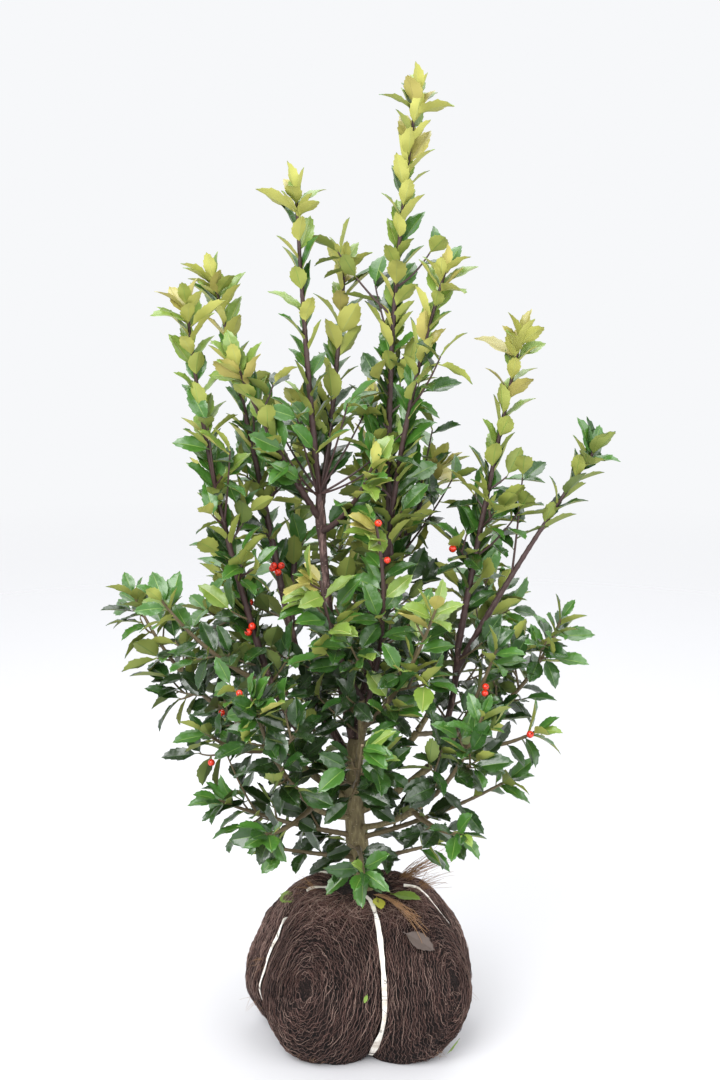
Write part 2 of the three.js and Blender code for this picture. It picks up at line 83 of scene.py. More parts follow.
class Finish:
    """A material whose nodes are added by short calls."""

    def __init__(self, name):
        self.material = bpy.data.materials.new(name)
        self.material.use_nodes = True
        self.tree = self.material.node_tree
        self.tree.nodes.clear()

    def node(self, kind, settings=None, inputs=None, output=0):
        """Adds a node: its settings first, then its sockets' values or links. Gives back one output."""
        made = self.tree.nodes.new(kind)
        for name, value in (settings or {}).items():
            if name == "stops":
                self.set_stops(made.color_ramp.elements, value)
            else:
                setattr(made, name, value)
        for name, value in (inputs or {}).items():
            if isinstance(value, Wire):
                self.tree.links.new(value.socket, made.inputs[name])
            else:
                made.inputs[name].default_value = value
        return Wire(self, made.outputs[output]) if made.outputs else None

    @staticmethod
    def set_stops(elements, stops):
        while len(elements) < len(stops):
            elements.new(1.0)
        for element, (place, tone) in zip(elements, stops):
            element.position = place
            element.color = tone

    def ramp(self, value, *stops):
        return self.node("ShaderNodeValToRGB", {"stops": stops}, {"Fac": value})

    def mix(self, share, first, second):
        return self.node("ShaderNodeMix", {"data_type": "RGBA"}, {0: share, 6: first, 7: second}, 2)

    def object_place(self, stretch=(1, 1, 1)):
        place = self.node("ShaderNodeTexCoord", output="Object")
        return self.node("ShaderNodeMapping", None, {"Vector": place, "Scale": stretch})

    def cloud(self, place, scale, detail=3.0, roughness=0.5):
        """Soft noise from 0 to 1, its grain a metre over the scale."""
        values = {"Vector": place, "Scale": scale, "Detail": detail, "Roughness": roughness}
        return self.node("ShaderNodeTexNoise", None, values)

    def bump(self, height, distance, strength=1.0):
        values = {"Height": height, "Distance": distance, "Strength": strength}
        return self.node("ShaderNodeBump", None, values)

    def surface(self, **sockets):
        """The shader that shows: every socket is named as Blender names it, with _ for a space."""
        inputs = {name.replace("_", " "): value for name, value in sockets.items()}
        shader = self.node("ShaderNodeBsdfPrincipled", None, inputs)
        self.node("ShaderNodeOutputMaterial", None, {"Surface": shader})
        return self.material


WHITE = (1, 1, 1, 1)
BLACK = (0, 0, 0, 1)


def tone(red, green, blue):
    """A colour as the eye reads it, from 0 to 255, turned to the linear light that shaders use."""
    def linear(value):
        share = value / 255
        return share / 12.92 if share <= 0.04045 else ((share + 0.055) / 1.055) ** 2.4
    return (linear(red), linear(green), linear(blue), 1.0)


def shade(colour, share):
    """A colour made lighter or darker by a share of itself."""
    return tuple(min(1.0, value * share) for value in colour[:3]) + (1.0,)


print("Shader helpers are ready")

# %% [markdown]
# Curves and joined meshes
#
# Every limb, shoot and twig is a gently bowed line, which is a quadratic curve from a start to a tip.
# Things that come in thousands, such as leaves and coir fibres, can't each be an object: their corners are
# worked out for all of them at once as arrays and become one joined mesh for each kind.

# %% Bowed lines
UP = np.array((0.0, 0.0, 1.0))
AWAY = np.array((0.0, 1.0, 0.0))
STEEP = 0.7
LENGTH_POINTS = 25


def unit(vector):
    return vector / np.linalg.norm(vector)


class Bow:
    """A line from start to tip whose middle is pushed aside by the bow."""

    def __init__(self, start, tip, bow=(0, 0, 0)):
        self.start = np.array(start, float)
        self.tip = np.array(tip, float)
        self.middle = (self.start + self.tip) / 2 + 2 * np.array(bow, float)
        steps = np.diff(self.points(LENGTH_POINTS), axis=0)
        self.length = float(np.linalg.norm(steps, axis=1).sum())

    def at(self, t):
        return (1 - t) ** 2 * self.start + 2 * t * (1 - t) * self.middle + t * t * self.tip

    def tangent(self, t):
        return unit((1 - t) * (self.middle - self.start) + t * (self.tip - self.middle))

    def points(self, count):
        return self.at(np.linspace(0, 1, count)[:, None])


def mix(first, second, share):
    return first + (second - first) * share


def square_to(tangent):
    """Two directions square to a tangent and to each other."""
    reference = AWAY if abs(tangent[2]) > STEEP else UP
    side = unit(np.cross(reference, tangent))
    return side, unit(np.cross(side, tangent))


def leaving(tangent, turn, angle):
    """The direction that leaves a tangent at an angle, turned round it."""
    side, other = square_to(tangent)
    outward = side * math.cos(turn) + other * math.sin(turn)
    return tangent * math.cos(angle) + outward * math.sin(angle)


print("A bow of 30 mm over 1 m is", round(Bow((0, 0, 0), (0, 0, 1), (0.03, 0, 0)).length, 4), "m long")

# %% Objects from meshes and shells
def scene_object(name, data):
    """An object that shows in the scene, from its mesh, light or camera."""
    made = bpy.data.objects.new(name, data)
    bpy.context.scene.collection.objects.link(made)
    return made


def mesh_object(name, mesh, materials, sharp_degrees=None):
    """Gives a mesh its finishes, keeps edges above an angle sharp and makes it an object."""
    for material in materials:
        mesh.materials.append(material)
    if sharp_degrees:
        mesh.set_sharp_from_angle(angle=math.radians(sharp_degrees))
    return scene_object(name, mesh)


def shell_object(name, shell, materials, sharp_degrees=None):
    """Makes a bmesh shell an object and frees it."""
    mesh = bpy.data.meshes.new(name)
    shell.to_mesh(mesh)
    shell.free()
    return mesh_object(name, mesh, materials, sharp_degrees)


def template_of(shell):
    """The corners of a shell and its faces, sorted by their number of corners and their finish. Frees it."""
    shell.verts.index_update()
    corners = np.array([vert.co for vert in shell.verts])
    groups = {}
    for face in shell.faces:
        key = (len(face.verts), face.material_index)
        groups.setdefault(key, []).append([vert.index for vert in face.verts])
    shell.free()
    return corners, [(np.array(faces), finish) for (_, finish), faces in sorted(groups.items())]


# %% Joined meshes from arrays
FIBRE_SIDES, THICK_FIBRE_SIDES = 3, 4
FIBRE_SHARP = 90


class Heap:
    """Corners and faces of one kind of thing, heaped up to become one mesh."""

    def __init__(self):
        self.corners = []
        self.faces = []
        self.count = 0

    def add(self, corners, groups):
        """groups is a list of face arrays, each with the index of its finish."""
        self.faces += [(faces + self.count, finish) for faces, finish in groups]
        self.corners.append(corners)
        self.count += len(corners)

    def piece(self, name, materials, sharp_degrees=FIBRE_SHARP):
        mesh = bpy.data.meshes.new(name)
        corners = np.concatenate(self.corners)
        loops = np.concatenate([faces.ravel() for faces, _ in self.faces])
        sizes = np.concatenate([np.full(len(faces), faces.shape[1]) for faces, _ in self.faces])
        finishes = np.concatenate([np.full(len(faces), finish) for faces, finish in self.faces])
        mesh.vertices.add(len(corners))
        mesh.vertices.foreach_set("co", corners.astype(np.float32).ravel())
        mesh.loops.add(len(loops))
        mesh.loops.foreach_set("vertex_index", loops.astype(np.int32))
        mesh.polygons.add(len(sizes))
        mesh.polygons.foreach_set("loop_start", (np.cumsum(sizes) - sizes).astype(np.int32))
        mesh.polygons.foreach_set("material_index", finishes.astype(np.int32))
        mesh.update(calc_edges=True)
        print(name, "has", int((sizes - 2).sum()), "triangles")
        return mesh_object(name, mesh, materials, sharp_degrees)


def tubes(heap, lines, radii, sides, finish=0):
    """Adds round tubes along lines (tube, point, 3) with radii (tube, point), closed at both ends."""
    count, points = radii.shape
    along = np.gradient(lines, axis=1)
    along /= np.linalg.norm(along, axis=2, keepdims=True)
    chord = lines[:, -1] - lines[:, 0]
    steep = np.abs(chord[:, 2]) > STEEP * np.linalg.norm(chord, axis=1)
    reference = np.where(steep[:, None], AWAY, UP)[:, None, :]
    side = np.cross(reference, along)
    side /= np.linalg.norm(side, axis=2, keepdims=True)
    other = np.cross(along, side)
    turn = np.arange(sides) * 2 * math.pi / sides
    ring = side[:, :, None] * np.cos(turn)[:, None] + other[:, :, None] * np.sin(turn)[:, None]
    corners = (lines[:, :, None] + ring * radii[:, :, None, None]).reshape(-1, 3)
    index = np.arange(count * points * sides).reshape(count, points, sides)
    near = index[:, :-1]
    far = index[:, 1:]
    walls = np.stack([near, np.roll(near, -1, 2), np.roll(far, -1, 2), far], axis=3).reshape(-1, 4)
    ends = np.concatenate([index[:, 0, ::-1], index[:, -1]])
    heap.add(corners, [(walls, finish), (ends, finish)])


def settle(made, replaced):
    """Makes a finished object a piece of the plant: it rides on the one body of the frame."""
    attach(made, "root")
    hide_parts(*replaced)


print("Mesh helpers are ready")

# %% [markdown]
# Limbs and shoots
#
# The trunk leans a little and forks near 0.4 m. Boughs leave it, and each ends where it enters a mass of
# foliage. A mass has one stem, and its reach is how far its twigs and leaves stand from it. The tables are
# the frame's own, but for a few bows and tips that are set closer to the photograph, so that the same rule
# grows finer twigs in nearly the same places.

# %% The trunk and the boughs: carrier, share along it, tip, bow, radii at start and tip
TRUNK = Bow((0.009, 0, 0.1893), (-0.005, 0, 0.398), (-0.009, 0, 0))
TRUNK_RADII = (0.0128, 0.0095)
TRUNK_FLARE = 0.0045
FLARE_SHARE = 0.07
BOUGHS = {
    "leader": ("trunk", 1, (.038, .008, .59), (-.003, .003, 0), (.0076, .0056)),
    "pollard": ("trunk", 0.93, (-.048, -.008, .7), (-.007, -.003, 0), (.0066, .0056)),
    "left_inner": ("trunk", 0.84, (-.096, .018, .585), (-.01, .004, -.014), (.0056, .0046)),
    "left_outer": ("trunk", 0.72, (-.116, -.03, .505), (-.01, -.006, -.012), (.0058, .0048)),
    "left_main": ("trunk", 0.58, (-.122, -.012, .408), (-.004, -.002, .002), (.0066, .005)),
    "right_main": ("trunk", 0.52, (.128, -.016, .414), (.006, -.004, -.008), (.0066, .005)),
    "right_upper": ("right_main", 0.7, (.12, .008, .512), (.006, .003, 0), (.005, .0044)),
    "back_inner": ("trunk", 0.9, (.03, .058, .56), (.004, .008, -.01), (.0054, .0044)),
    "front_stems": ("trunk", 0.8, (.002, -.062, .47), (.004, -.01, -.012), (.0054, .0044)),
    "front_left": ("trunk", 0.5, (-.066, -.082, .35), (-.004, -.004, -.006), (.005, .004)),
    "front_right": ("trunk", 0.43, (.078, -.08, .345), (.004, -.004, -.006), (.005, .004)),
    "back_left": ("trunk", 0.66, (-.08, .084, .41), (-.005, .005, -.008), (.0052, .0042)),
    "back_middle": ("trunk", 0.76, (-.01, .1, .44), (0, .008, -.01), (.0052, .0042)),
    "back_right": ("trunk", 0.62, (.086, .078, .4), (.005, .005, -.008), (.0052, .0042)),
}
BOUGH_NODES = [f"bough_{name}" for name in BOUGHS]

# %% The masses of foliage: carrier, share along it, tip of the stem, bow, reach
MASSES = {
    "leader_shoot": ("leader", 1, (.062, .024, 1.144), (-.014, .006, 0), .084),
    "second_shoot": ("leader", 0.82, (.106, -.042, .962), (-.014, -.01, 0), .058),
    "tall_left_shoot": ("pollard", 1, (-.077, -.014, 1.045), (-.002, 0, 0), .052),
    "pollard_right": ("pollard", 0.95, (-.02, .056, .945), (.002, .012, 0), .06),
    "pollard_left": ("pollard", 0.92, (-.132, -.066, .85), (-.004, -.008, 0), .06),
    "pollard_front": ("pollard", 0.88, (.014, -.086, .79), (.002, -.01, -.01), .066),
    "left_inner_shoot": ("left_inner", 1, (-.168, .058, .926), (.002, .006, 0), .06),
    "left_heart": ("left_inner", 0.8, (-.074, .132, .77), (0, .01, 0), .084),
    "left_outer_shoot": ("left_outer", 1, (-.196, -.04, .908), (-.012, 0, 0), .062),
    "left_shoulder": ("left_outer", 0.84, (-.226, -.084, .59), (-.006, -.008, -.008), .066),
    "left_far": ("left_main", 1, (-.272, .014, .568), (-.012, .006, -.022), .072),
    "left_reach": ("left_main", 0.8, (-.208, -.064, .43), (0, -.006, -.012), .072),
    "right_high": ("right_upper", 1, (.184, .018, .862), (-.002, .002, 0), .06),
    "right_far": ("right_upper", 0.8, (.266, .004, .738), (-.003, .002, .003), .058),
    "right_main": ("right_main", 1, (.238, -.024, .548), (.01, -.004, -.014), .074),
    "right_reach": ("right_main", 0.86, (.204, -.076, .43), (0, -.006, -.008), .072),
    "right_rise": ("right_main", 0.74, (.174, -.086, .58), (0, -.01, -.008), .074),
    "back_shoot": ("back_inner", 1, (.104, .096, .74), (-.004, .006, 0), .076),
    "back_crown": ("back_inner", 0.84, (.014, .15, .76), (-.004, .012, 0), .088),
    "front_left_stem": ("front_stems", 1, (-.044, -.122, .622), (-.006, -.008, -.004), .066),
    "front_stem": ("front_stems", 0.82, (.02, -.09, .68), (.016, -.002, 0), .058),
    "front_right_stem": ("front_stems", 0.72, (.084, -.124, .59), (.004, -.01, -.012), .072),
    "front_left": ("front_left", 1, (-.122, -.15, .492), (-.004, -.008, -.008), .08),
    "front_left_low": ("front_left", 0.8, (-.104, -.178, .345), (-.002, -.006, -.006), .078),
    "front_right": ("front_right", 1, (.138, -.148, .47), (.004, -.008, -.008), .08),
    "front_right_low": ("front_right", 0.8, (.112, -.178, .345), (.002, -.006, -.006), .078),
    "front_middle": ("trunk", 0.7, (.002, -.172, .446), (0, -.008, -.012), .08),
    "front_skirt": ("trunk", 0.3, (.004, -.15, .288), (0, -.004, .008), .074),
    "left_low": ("trunk", 0.38, (-.162, -.07, .34), (-.004, -.006, -.002), .07),
    "left_skirt": ("trunk", 0.24, (-.104, -.084, .288), (0, -.004, 0), .062),
    "right_low": ("trunk", 0.36, (.2, -.05, .356), (.004, -.006, -.004), .07),
    "right_skirt": ("trunk", 0.22, (.108, -.074, .282), (0, -.004, 0), .062),
    "back_left": ("back_left", 1, (-.172, .15, .55), (-.006, .006, -.01), .088),
    "back_left_low": ("back_left", 0.8, (-.166, .132, .392), (-.006, .006, -.01), .088),
    "back_middle": ("back_middle", 1, (-.026, .206, .58), (0, .01, -.01), .092),
    "back_middle_low": ("back_middle", 0.78, (.006, .216, .432), (0, .006, -.012), .092),
    "back_right": ("back_right", 1, (.176, .138, .54), (.006, .006, -.01), .088),
    "back_right_low": ("back_right", 0.8, (.166, .134, .382), (.006, .006, -.01), .088),
    "back_skirt": ("trunk", 0.32, (-.004, .158, .298), (0, .006, .006), .088),
}
MASS_NODES = [f"leaves_{name}" for name in MASSES]

# %% Curves of all limbs and stems
STEM_RADII = (0.0036, 0.0016)
TALL_STEM_RADII = (0.0042, 0.0018)
HIGH_SHOOT = 0.70
TIP_GROWTH = 0.010
HIGH_TIP_GROWTH = 0.026
# Stems whose tips are set closer to the photograph than in the frame
OWN_TIPS = {
    "second_shoot": (0.097, -0.040, 0.974), "tall_left_shoot": (-0.073, -0.014, 1.058),
    "right_skirt": (0.094, -0.074, 0.290), "back_shoot": (0.098, 0.090, 0.720),
    "right_rise": (0.160, -0.086, 0.538), "right_low": (0.184, -0.050, 0.364),
    "left_reach": (-0.188, -0.064, 0.430), "pollard_front": (0.014, -0.086, 0.756)}
limbs = {"trunk": TRUNK}
for name, (carrier, share, tip, bow, _) in BOUGHS.items():
    limbs[name] = Bow(limbs[carrier].at(share), tip, bow)
stems = {}
for name, (carrier, share, tip, bow, _) in MASSES.items():
    stem = Bow(limbs[carrier].at(share), tip, bow)
    growth = HIGH_TIP_GROWTH if tip[2] > HIGH_SHOOT else TIP_GROWTH
    stems[name] = Bow(stem.start, OWN_TIPS.get(name, stem.tip + stem.tangent(1) * growth), bow)
print(len(limbs), "limbs and", len(stems), "stems")

# %% [markdown]
# How a mass grows
#
# Holly sets its leaves one at a time up a shoot, each turned by the golden angle from the last, and a twig
# may grow in place of a leaf. Scattering leaves in a cloud would look like a hedge trimming, so every leaf
# here sits on a twig. A twig or leaf that would leave its mass's space, or touch a limb, the ball or
# another leaf, is turned on by the golden angle or left out.

# %% Chances and spaces
SPACE_MARGIN = 0.0014
LIMB_MARGIN = 0.0045
BALL_MARGIN = 0.009
BALL_REACH = (0.148, 0.129, 0.205)
AXIS_STEP = 0.008
CHANCE_RANGE, CHANCE_FACTOR = 2147483647, 16807


def chances(seed):
    """The same chain of chances as the frame's source, kept to whole numbers."""
    state = (seed * 7919 + 12345) % CHANCE_RANGE
    while True:
        state = (state * CHANCE_FACTOR) % CHANCE_RANGE
        yield state / CHANCE_RANGE


def spaced(curve, step):
    return curve.points(max(2, math.ceil(curve.length / step)) + 1)


stem_points = [spaced(stem, AXIS_STEP) for stem in stems.values()]
stem_first = np.cumsum([0] + [len(points) for points in stem_points[:-1]])
stem_points = np.concatenate(stem_points)
limb_points = []
limb_widths = []
for name, limb in limbs.items():
    points = spaced(limb, AXIS_STEP)
    shares = np.linspace(0, 1, len(points))
    start, end = BOUGHS[name][4] if name in BOUGHS else TRUNK_RADII
    limb_points.append(points)
    limb_widths.append(mix(start, end, shares))
limb_points = np.concatenate(limb_points)
limb_widths = np.concatenate(limb_widths)


def keeps_clear(point, room):
    """Whether a point lies clear of every limb, of the root ball and of the floor."""
    away = np.linalg.norm(limb_points - point, axis=1) - limb_widths
    wide, deep, high = BALL_REACH
    out = math.hypot(point[0] / (wide + BALL_MARGIN), point[1] / (deep + BALL_MARGIN))
    up = (point[2] - high / 2) / (high / 2 + BALL_MARGIN)
    return away.min() > room and out * out + up * up > 1 and point[2] > BALL_MARGIN


def keeps_to_space(point, own, room):
    """Whether a point lies nearer its own stem than any other's, by twice the room it needs."""
    away = np.minimum.reduceat(np.linalg.norm(stem_points - point, axis=1), stem_first)
    mine = away[own]
    away[own] = math.inf
    return away.min() - mine >= 2 * room


print(len(stem_points), "points along the stems and", len(limb_points), "along the limbs")

# %% [markdown]
# Twigs and buds
#
# The stem has a node at every step. At each node where the mass reaches past a leaf's length a twig leaves,
# bowed up towards the light, every second one shorter, and the longer twigs carry side twigs. Leaves then
# sit every 13 mm or so along the twigs and closer on the tall shoots, with a rosette at each tip.

# %% Twigs by the frame's rule, and finer ones on them
GOLDEN_TURN = math.radians(137.5)
SHOOT_STEP = 0.024
BUSH_STEP = 0.020
BUSH_REACH = 0.064
FIRST_NODE = 0.030
FIRST_LEAF_SHARE = 0.6
LAST_NODE_SHARE = 0.4
FULLEST_SHARE = 0.35
START_REACH = 0.72
TIP_REACH = 0.62
TWIG_ANGLE = math.radians(52)
TWIG_LIFT = 0.14
TWIG_BOW = (0, 0, -0.035)
TWIG_RADII = (0.0016, 0.0009)
LEAF_REACH = 0.027
SHORTEST_TWIG = 0.016
SHORT_TWIG_SHARE = 0.62
SHOOT_TWIGS_TO = 0.36
LOW_MASS = 0.37
OLD_BELOW = 0.50
SIDE_TWIG_FROM = 0.034
SIDE_TWIG_SHARE = 0.55
SIDE_TWIG_LENGTHS = (0.8, 1.1)
SIDE_TWIGS = ((0.40, 2), (0.72, 4))
SHORTEST_REACH = 0.8
TWIG_BARE, SIDE_TWIG_BARE = 0.010, 0.009
TWIG_STEP = 0.006
# Masses more open in the photograph than the rule makes them, and the share of their reach that they keep.
# Their leaves also sit wider apart, by its square root.
OPEN_MASSES = {
    "leader_shoot": 0.85, "tall_left_shoot": 0.80, "pollard_right": 0.74,
    "pollard_left": 0.94, "pollard_front": 0.52, "left_heart": 0.52,
    "back_crown": 0.62, "back_shoot": 0.66, "left_shoulder": 0.80,
    "left_far": 0.86, "left_reach": 0.62, "right_main": 0.88,
    "right_reach": 0.50, "right_low": 0.70, "right_rise": 0.56,
    "back_left_low": 0.80, "back_right_low": 0.62, "front_right_stem": 0.86,
    "front_right": 0.84, "front_right_low": 0.58, "front_left_low": 0.62,
    "front_middle": 0.92, "front_skirt": 0.70, "left_skirt": 0.52,
    "right_skirt": 0.40, "back_skirt": 0.60,
}
# Tall shoots whose twigs end at another share of the stem than on the others
OWN_TWIGS_TO = {
    "leader_shoot": 0.44, "left_outer_shoot": 0.56, "back_shoot": 0.70,
    "tall_left_shoot": 0.12, "pollard_right": 0.16, "left_heart": 0.72,
    "right_high": 0.54}
# Stems that are bare below this share of their length
BARE_STEMS = {"right_far": 0.62, "right_high": 0.10}


def reach_share(t):
    if t < FULLEST_SHARE:
        return mix(START_REACH, 1, t / FULLEST_SHARE)
    return mix(1, TIP_REACH, (t - FULLEST_SHARE) / (1 - FULLEST_SHARE))


def twig_from(start, direction, length):
    tip = start + direction * length + UP * TWIG_LIFT * length
    return Bow(start, tip, np.array(TWIG_BOW) * length)


def twig_fits(twig, own):
    return all(
        keeps_clear(at, TWIG_RADII[0] + LIMB_MARGIN)
        and keeps_to_space(at, own, SPACE_MARGIN + TWIG_RADII[0])
        for at in spaced(twig, TWIG_STEP)[2:]
    )


def carriers_of(own, name):
    """The stem of a mass and its twigs, each with its first leaf, turn, order and share along the stem."""
    stem = stems[name]
    reach = MASSES[name][4] * OPEN_MASSES.get(name, 1)
    tall = stem.tip[2] > HIGH_SHOOT
    bare = BARE_STEMS.get(name, 0)
    twigs_to = OWN_TWIGS_TO.get(name, SHOOT_TWIGS_TO) if tall else 1
    chance = chances(own + 1)
    step = BUSH_STEP if MASSES[name][4] > BUSH_REACH else SHOOT_STEP
    angle = next(chance) * 2 * math.pi
    found = [(stem, max(FIRST_NODE * FIRST_LEAF_SHARE, bare * stem.length), angle, 0, 0.0)]
    along = FIRST_NODE
    count = 0
    while along < stem.length - step * LAST_NODE_SHARE:
        t = along / stem.length
        room = reach * reach_share(t) * mix(SHORTEST_REACH, 1, next(chance)) - LEAF_REACH
        angle += GOLDEN_TURN
        count += 1
        length = room / math.sin(TWIG_ANGLE) * (1 if count % 2 == 0 else SHORT_TWIG_SHARE)
        if length > SHORTEST_TWIG and bare < t < twigs_to:
            direction = leaving(stem.tangent(t), angle, TWIG_ANGLE)
            twig = twig_from(stem.at(t), direction, length)
            if twig_fits(twig, own):
                found.append((twig, TWIG_BARE, angle, 1, t))
        along += step
    for twig, _, turn, _, t in found[1:]:
        for place, turns in SIDE_TWIGS if twig.length > SIDE_TWIG_FROM and stem.tip[2] > LOW_MASS else ():
            length = twig.length * SIDE_TWIG_SHARE * mix(*SIDE_TWIG_LENGTHS, next(chance))
            direction = leaving(twig.tangent(place), turn + turns * GOLDEN_TURN, TWIG_ANGLE)
            side_twig = twig_from(twig.at(place), direction, length)
            if twig_fits(side_twig, own):
                found.append((side_twig, SIDE_TWIG_BARE, turn, 2, t))
    return found


carriers = []
for own, name in enumerate(stems):
    carriers += [(own, *carrier) for carrier in carriers_of(own, name)]

# Short twigs along the boughs, which fill the inside of the crown
INNER_STEP = 0.019
INNER_FROM = 0.22
INNER_LENGTH = 0.058
INNER_LENGTHS = (0.7, 1.2)
INNER_BARE = 0.012
INNER_AGE = 0.15
INNER_ANGLE = math.radians(58)
LOW_BOUGH = 0.43
# The cut stem carries none above this share of its length
BARE_FROM = {"pollard": 0.45}
chance = chances(99)
for name in BOUGHS:
    bough = limbs[name]
    along = bough.length * INNER_FROM
    angle = next(chance) * 2 * math.pi
    while along < bough.length * BARE_FROM.get(name, 1) and bough.tip[2] > LOW_BOUGH:
        t = along / bough.length
        angle += GOLDEN_TURN
        along += INNER_STEP
        length = INNER_LENGTH * mix(*INNER_LENGTHS, next(chance))
        twig = twig_from(bough.at(t), leaving(bough.tangent(t), angle, INNER_ANGLE), length)
        if all(keeps_clear(at, TWIG_RADII[0] + LIMB_MARGIN) for at in spaced(twig, TWIG_STEP)[3:]):
            carriers.append((None, twig, INNER_BARE, angle, 1, INNER_AGE))

# Twigs that stand out in the photograph: mass, share along its stem, tip, share where the leaves start
NAMED_TWIGS = (
    ("leader_shoot", 0.56, (-0.026, 0.030, 0.990), 0.66),
    ("leader_shoot", 0.62, (0.084, 0.030, 0.992), 0.74),
    ("leader_shoot", 0.50, (0.018, 0.034, 0.950), 0.62),
    ("right_far", 0.42, (0.194, 0.004, 0.725), 0.30),
    ("left_low", 0.70, (-0.160, -0.060, 0.398), 0.30),
    ("left_reach", 0.62, (-0.196, -0.034, 0.390), 0.30),
    ("right_high", 0.30, (0.190, 0.000, 0.684), 0.40),
    ("left_far", 0.80, (-0.268, 0.010, 0.548), 0.30),
    ("left_inner_shoot", 0.42, (-0.128, 0.020, 0.838), 0.40),
    ("left_outer_shoot", 0.50, (-0.176, -0.050, 0.800), 0.35),
    ("left_outer_shoot", 0.40, (-0.150, -0.060, 0.770), 0.35),
    ("pollard_left", 0.70, (-0.100, -0.050, 0.846), 0.35),
    ("second_shoot", 0.62, (0.092, -0.060, 0.880), 0.40),
    ("back_shoot", 0.55, (0.088, 0.060, 0.772), 0.35),
    ("back_shoot", 0.30, (0.112, 0.040, 0.715), 0.35),
)
# The twigs that stand up round the cut top of the pollard stem
WHORL_TWIGS = (
    (0.02, (0.050, -0.022, 0.784), 0.86), (0.03, (0.010, 0.030, 0.808), 0.60),
    (0.02, (-0.014, -0.038, 0.822), 0.66), (0.02, (-0.104, -0.030, 0.752), 0.60),
    (0.03, (-0.106, 0.024, 0.800), 0.60), (0.01, (-0.056, 0.052, 0.776), 0.60),
    (0.02, (-0.052, -0.066, 0.772), 0.66), (0.01, (-0.088, -0.058, 0.770), 0.66),
    (0.02, (0.030, -0.046, 0.758), 0.70), (0.01, (-0.074, -0.030, 0.806), 0.66),
    (0.02, (-0.034, 0.010, 0.790), 0.66),
)
STANDING_BOW = (0, 0, -0.006)
STANDING_TURN = 9
STANDING_AGE = 0.62
WOOD_STEP = 0.005
for name, share, tip, bare in [*NAMED_TWIGS, *(("tall_left_shoot", *row) for row in WHORL_TWIGS)]:
    twig = Bow(stems[name].at(share), tip, STANDING_BOW)
    carriers.append((None, twig, bare * twig.length, share * STANDING_TURN, 1, STANDING_AGE))
whorl = [carrier[1] for carrier in carriers[-len(WHORL_TWIGS):]]
wood_points = np.concatenate([spaced(carrier[1], WOOD_STEP) for carrier in carriers])
print(len(carriers), "stems and twigs, in all", round(sum(c[1].length for c in carriers), 1), "m")

# %% [markdown]
# The leaf
#
# A leaf of this holly is about 45 mm long, an oval with five forward-pointing spines on each side and a
# sunken pale midrib. It is glossy dark green above and matt yellow-green below. A flat card with a picture
# would lose its fold and its shine, so each leaf is a thin closed shell: two grids, one for each face, that
# are moved to the leaf's shape and welded at the rim. The midrib is a row of faces with its own finish.

# %% One leaf, a unit long, in several forms
SPINES = 5
PETIOLE = 0.11
PETIOLE_WIDTH = 0.014
UPPER_COLUMNS = (-1, -0.52, -0.036, 0.036, 0.52, 1)
UNDER_COLUMNS = (-1, -0.036, 0.036, 1)
SHELL = 0.010
BELLY, BELLY_FROM = 0.10, 0.02
WELD = 0.0015
UPPER_FINISH, UNDER_FINISH, RIB_FINISH = 0, 1, 2
LEAF_FORMS = (
    {"width": 0.235, "fold": 0.34, "curl": 0.22, "spine": 0.024, "wave": 0.018},
    {"width": 0.210, "fold": 0.24, "curl": 0.46, "spine": 0.028, "wave": 0.030},
    {"width": 0.255, "fold": 0.28, "curl": 0.08, "spine": 0.022, "wave": 0.020},
    {"width": 0.195, "fold": 0.46, "curl": -0.16, "spine": 0.026, "wave": 0.026},
)
pitch = (1 - PETIOLE) / (SPINES + 0.45)
STATIONS = [0, PETIOLE]
for spine in range(SPINES):
    STATIONS += [PETIOLE + pitch * (spine + 0.74), PETIOLE + pitch * (spine + 1)]
STATIONS.append(1)


def leaf_corner(station, column, under, form):
    """Where a grid's corner lies on the leaf: along it, across it and up from it."""
    along = STATIONS[station]
    is_spine = station > 1 and station % 2 == 0 and along < 1
    blade = max(0.0, (along - PETIOLE) / (1 - PETIOLE))
    width = form["width"] * math.sin(math.pi * blade ** 0.86) ** 0.92 if 0 < blade < 1 else 0
    width = max(width, PETIOLE_WIDTH if along <= PETIOLE else 0)
    edge = abs(column) == 1
    if edge and is_spine:
        width += form["spine"]
        along += form["spine"] * 0.8
    across = column * width
    high = form["fold"] * abs(across)
    if width > BELLY_FROM:
        high += BELLY * form["width"] * math.sin(math.pi * abs(column))
    high -= form["curl"] * blade * blade * 0.5
    high += form["wave"] * column * column * math.sin(3.4 * math.pi * blade + (0.9 if column > 0 else 0))
    if abs(column) < 0.1:
        high -= SHELL * 0.8
    if under and not edge and along < 1:
        high -= SHELL
    return Vector((along, across, high))


def leaf_sheet(shell, columns, under, form):
    """One face of the leaf: a grid whose corners go to their places."""
    rows, lines = len(STATIONS) - 1, len(columns) - 1
    grid = bmesh.ops.create_grid(shell, x_segments=rows, y_segments=lines, size=0.5)["verts"]
    faces = {face for vert in grid for face in vert.link_faces}
    for face in faces:
        line = int((face.calc_center_median().y + 0.5) * lines)
        on_rib = line == lines // 2
        face.material_index = RIB_FINISH if on_rib else (UNDER_FINISH if under else UPPER_FINISH)
    for vert in grid:
        station = round((vert.co.x + 0.5) * rows)
        column = columns[round((vert.co.y + 0.5) * lines)]
        vert.co = leaf_corner(station, column, under, form)
    if under:
        bmesh.ops.reverse_faces(shell, faces=list(faces))


def leaf_template(form):
    """The two faces of one leaf, welded at the rim."""
    shell = bmesh.new()
    leaf_sheet(shell, UPPER_COLUMNS, False, form)
    leaf_sheet(shell, UNDER_COLUMNS, True, form)
    bmesh.ops.remove_doubles(shell, verts=shell.verts, dist=WELD)
    return template_of(shell)


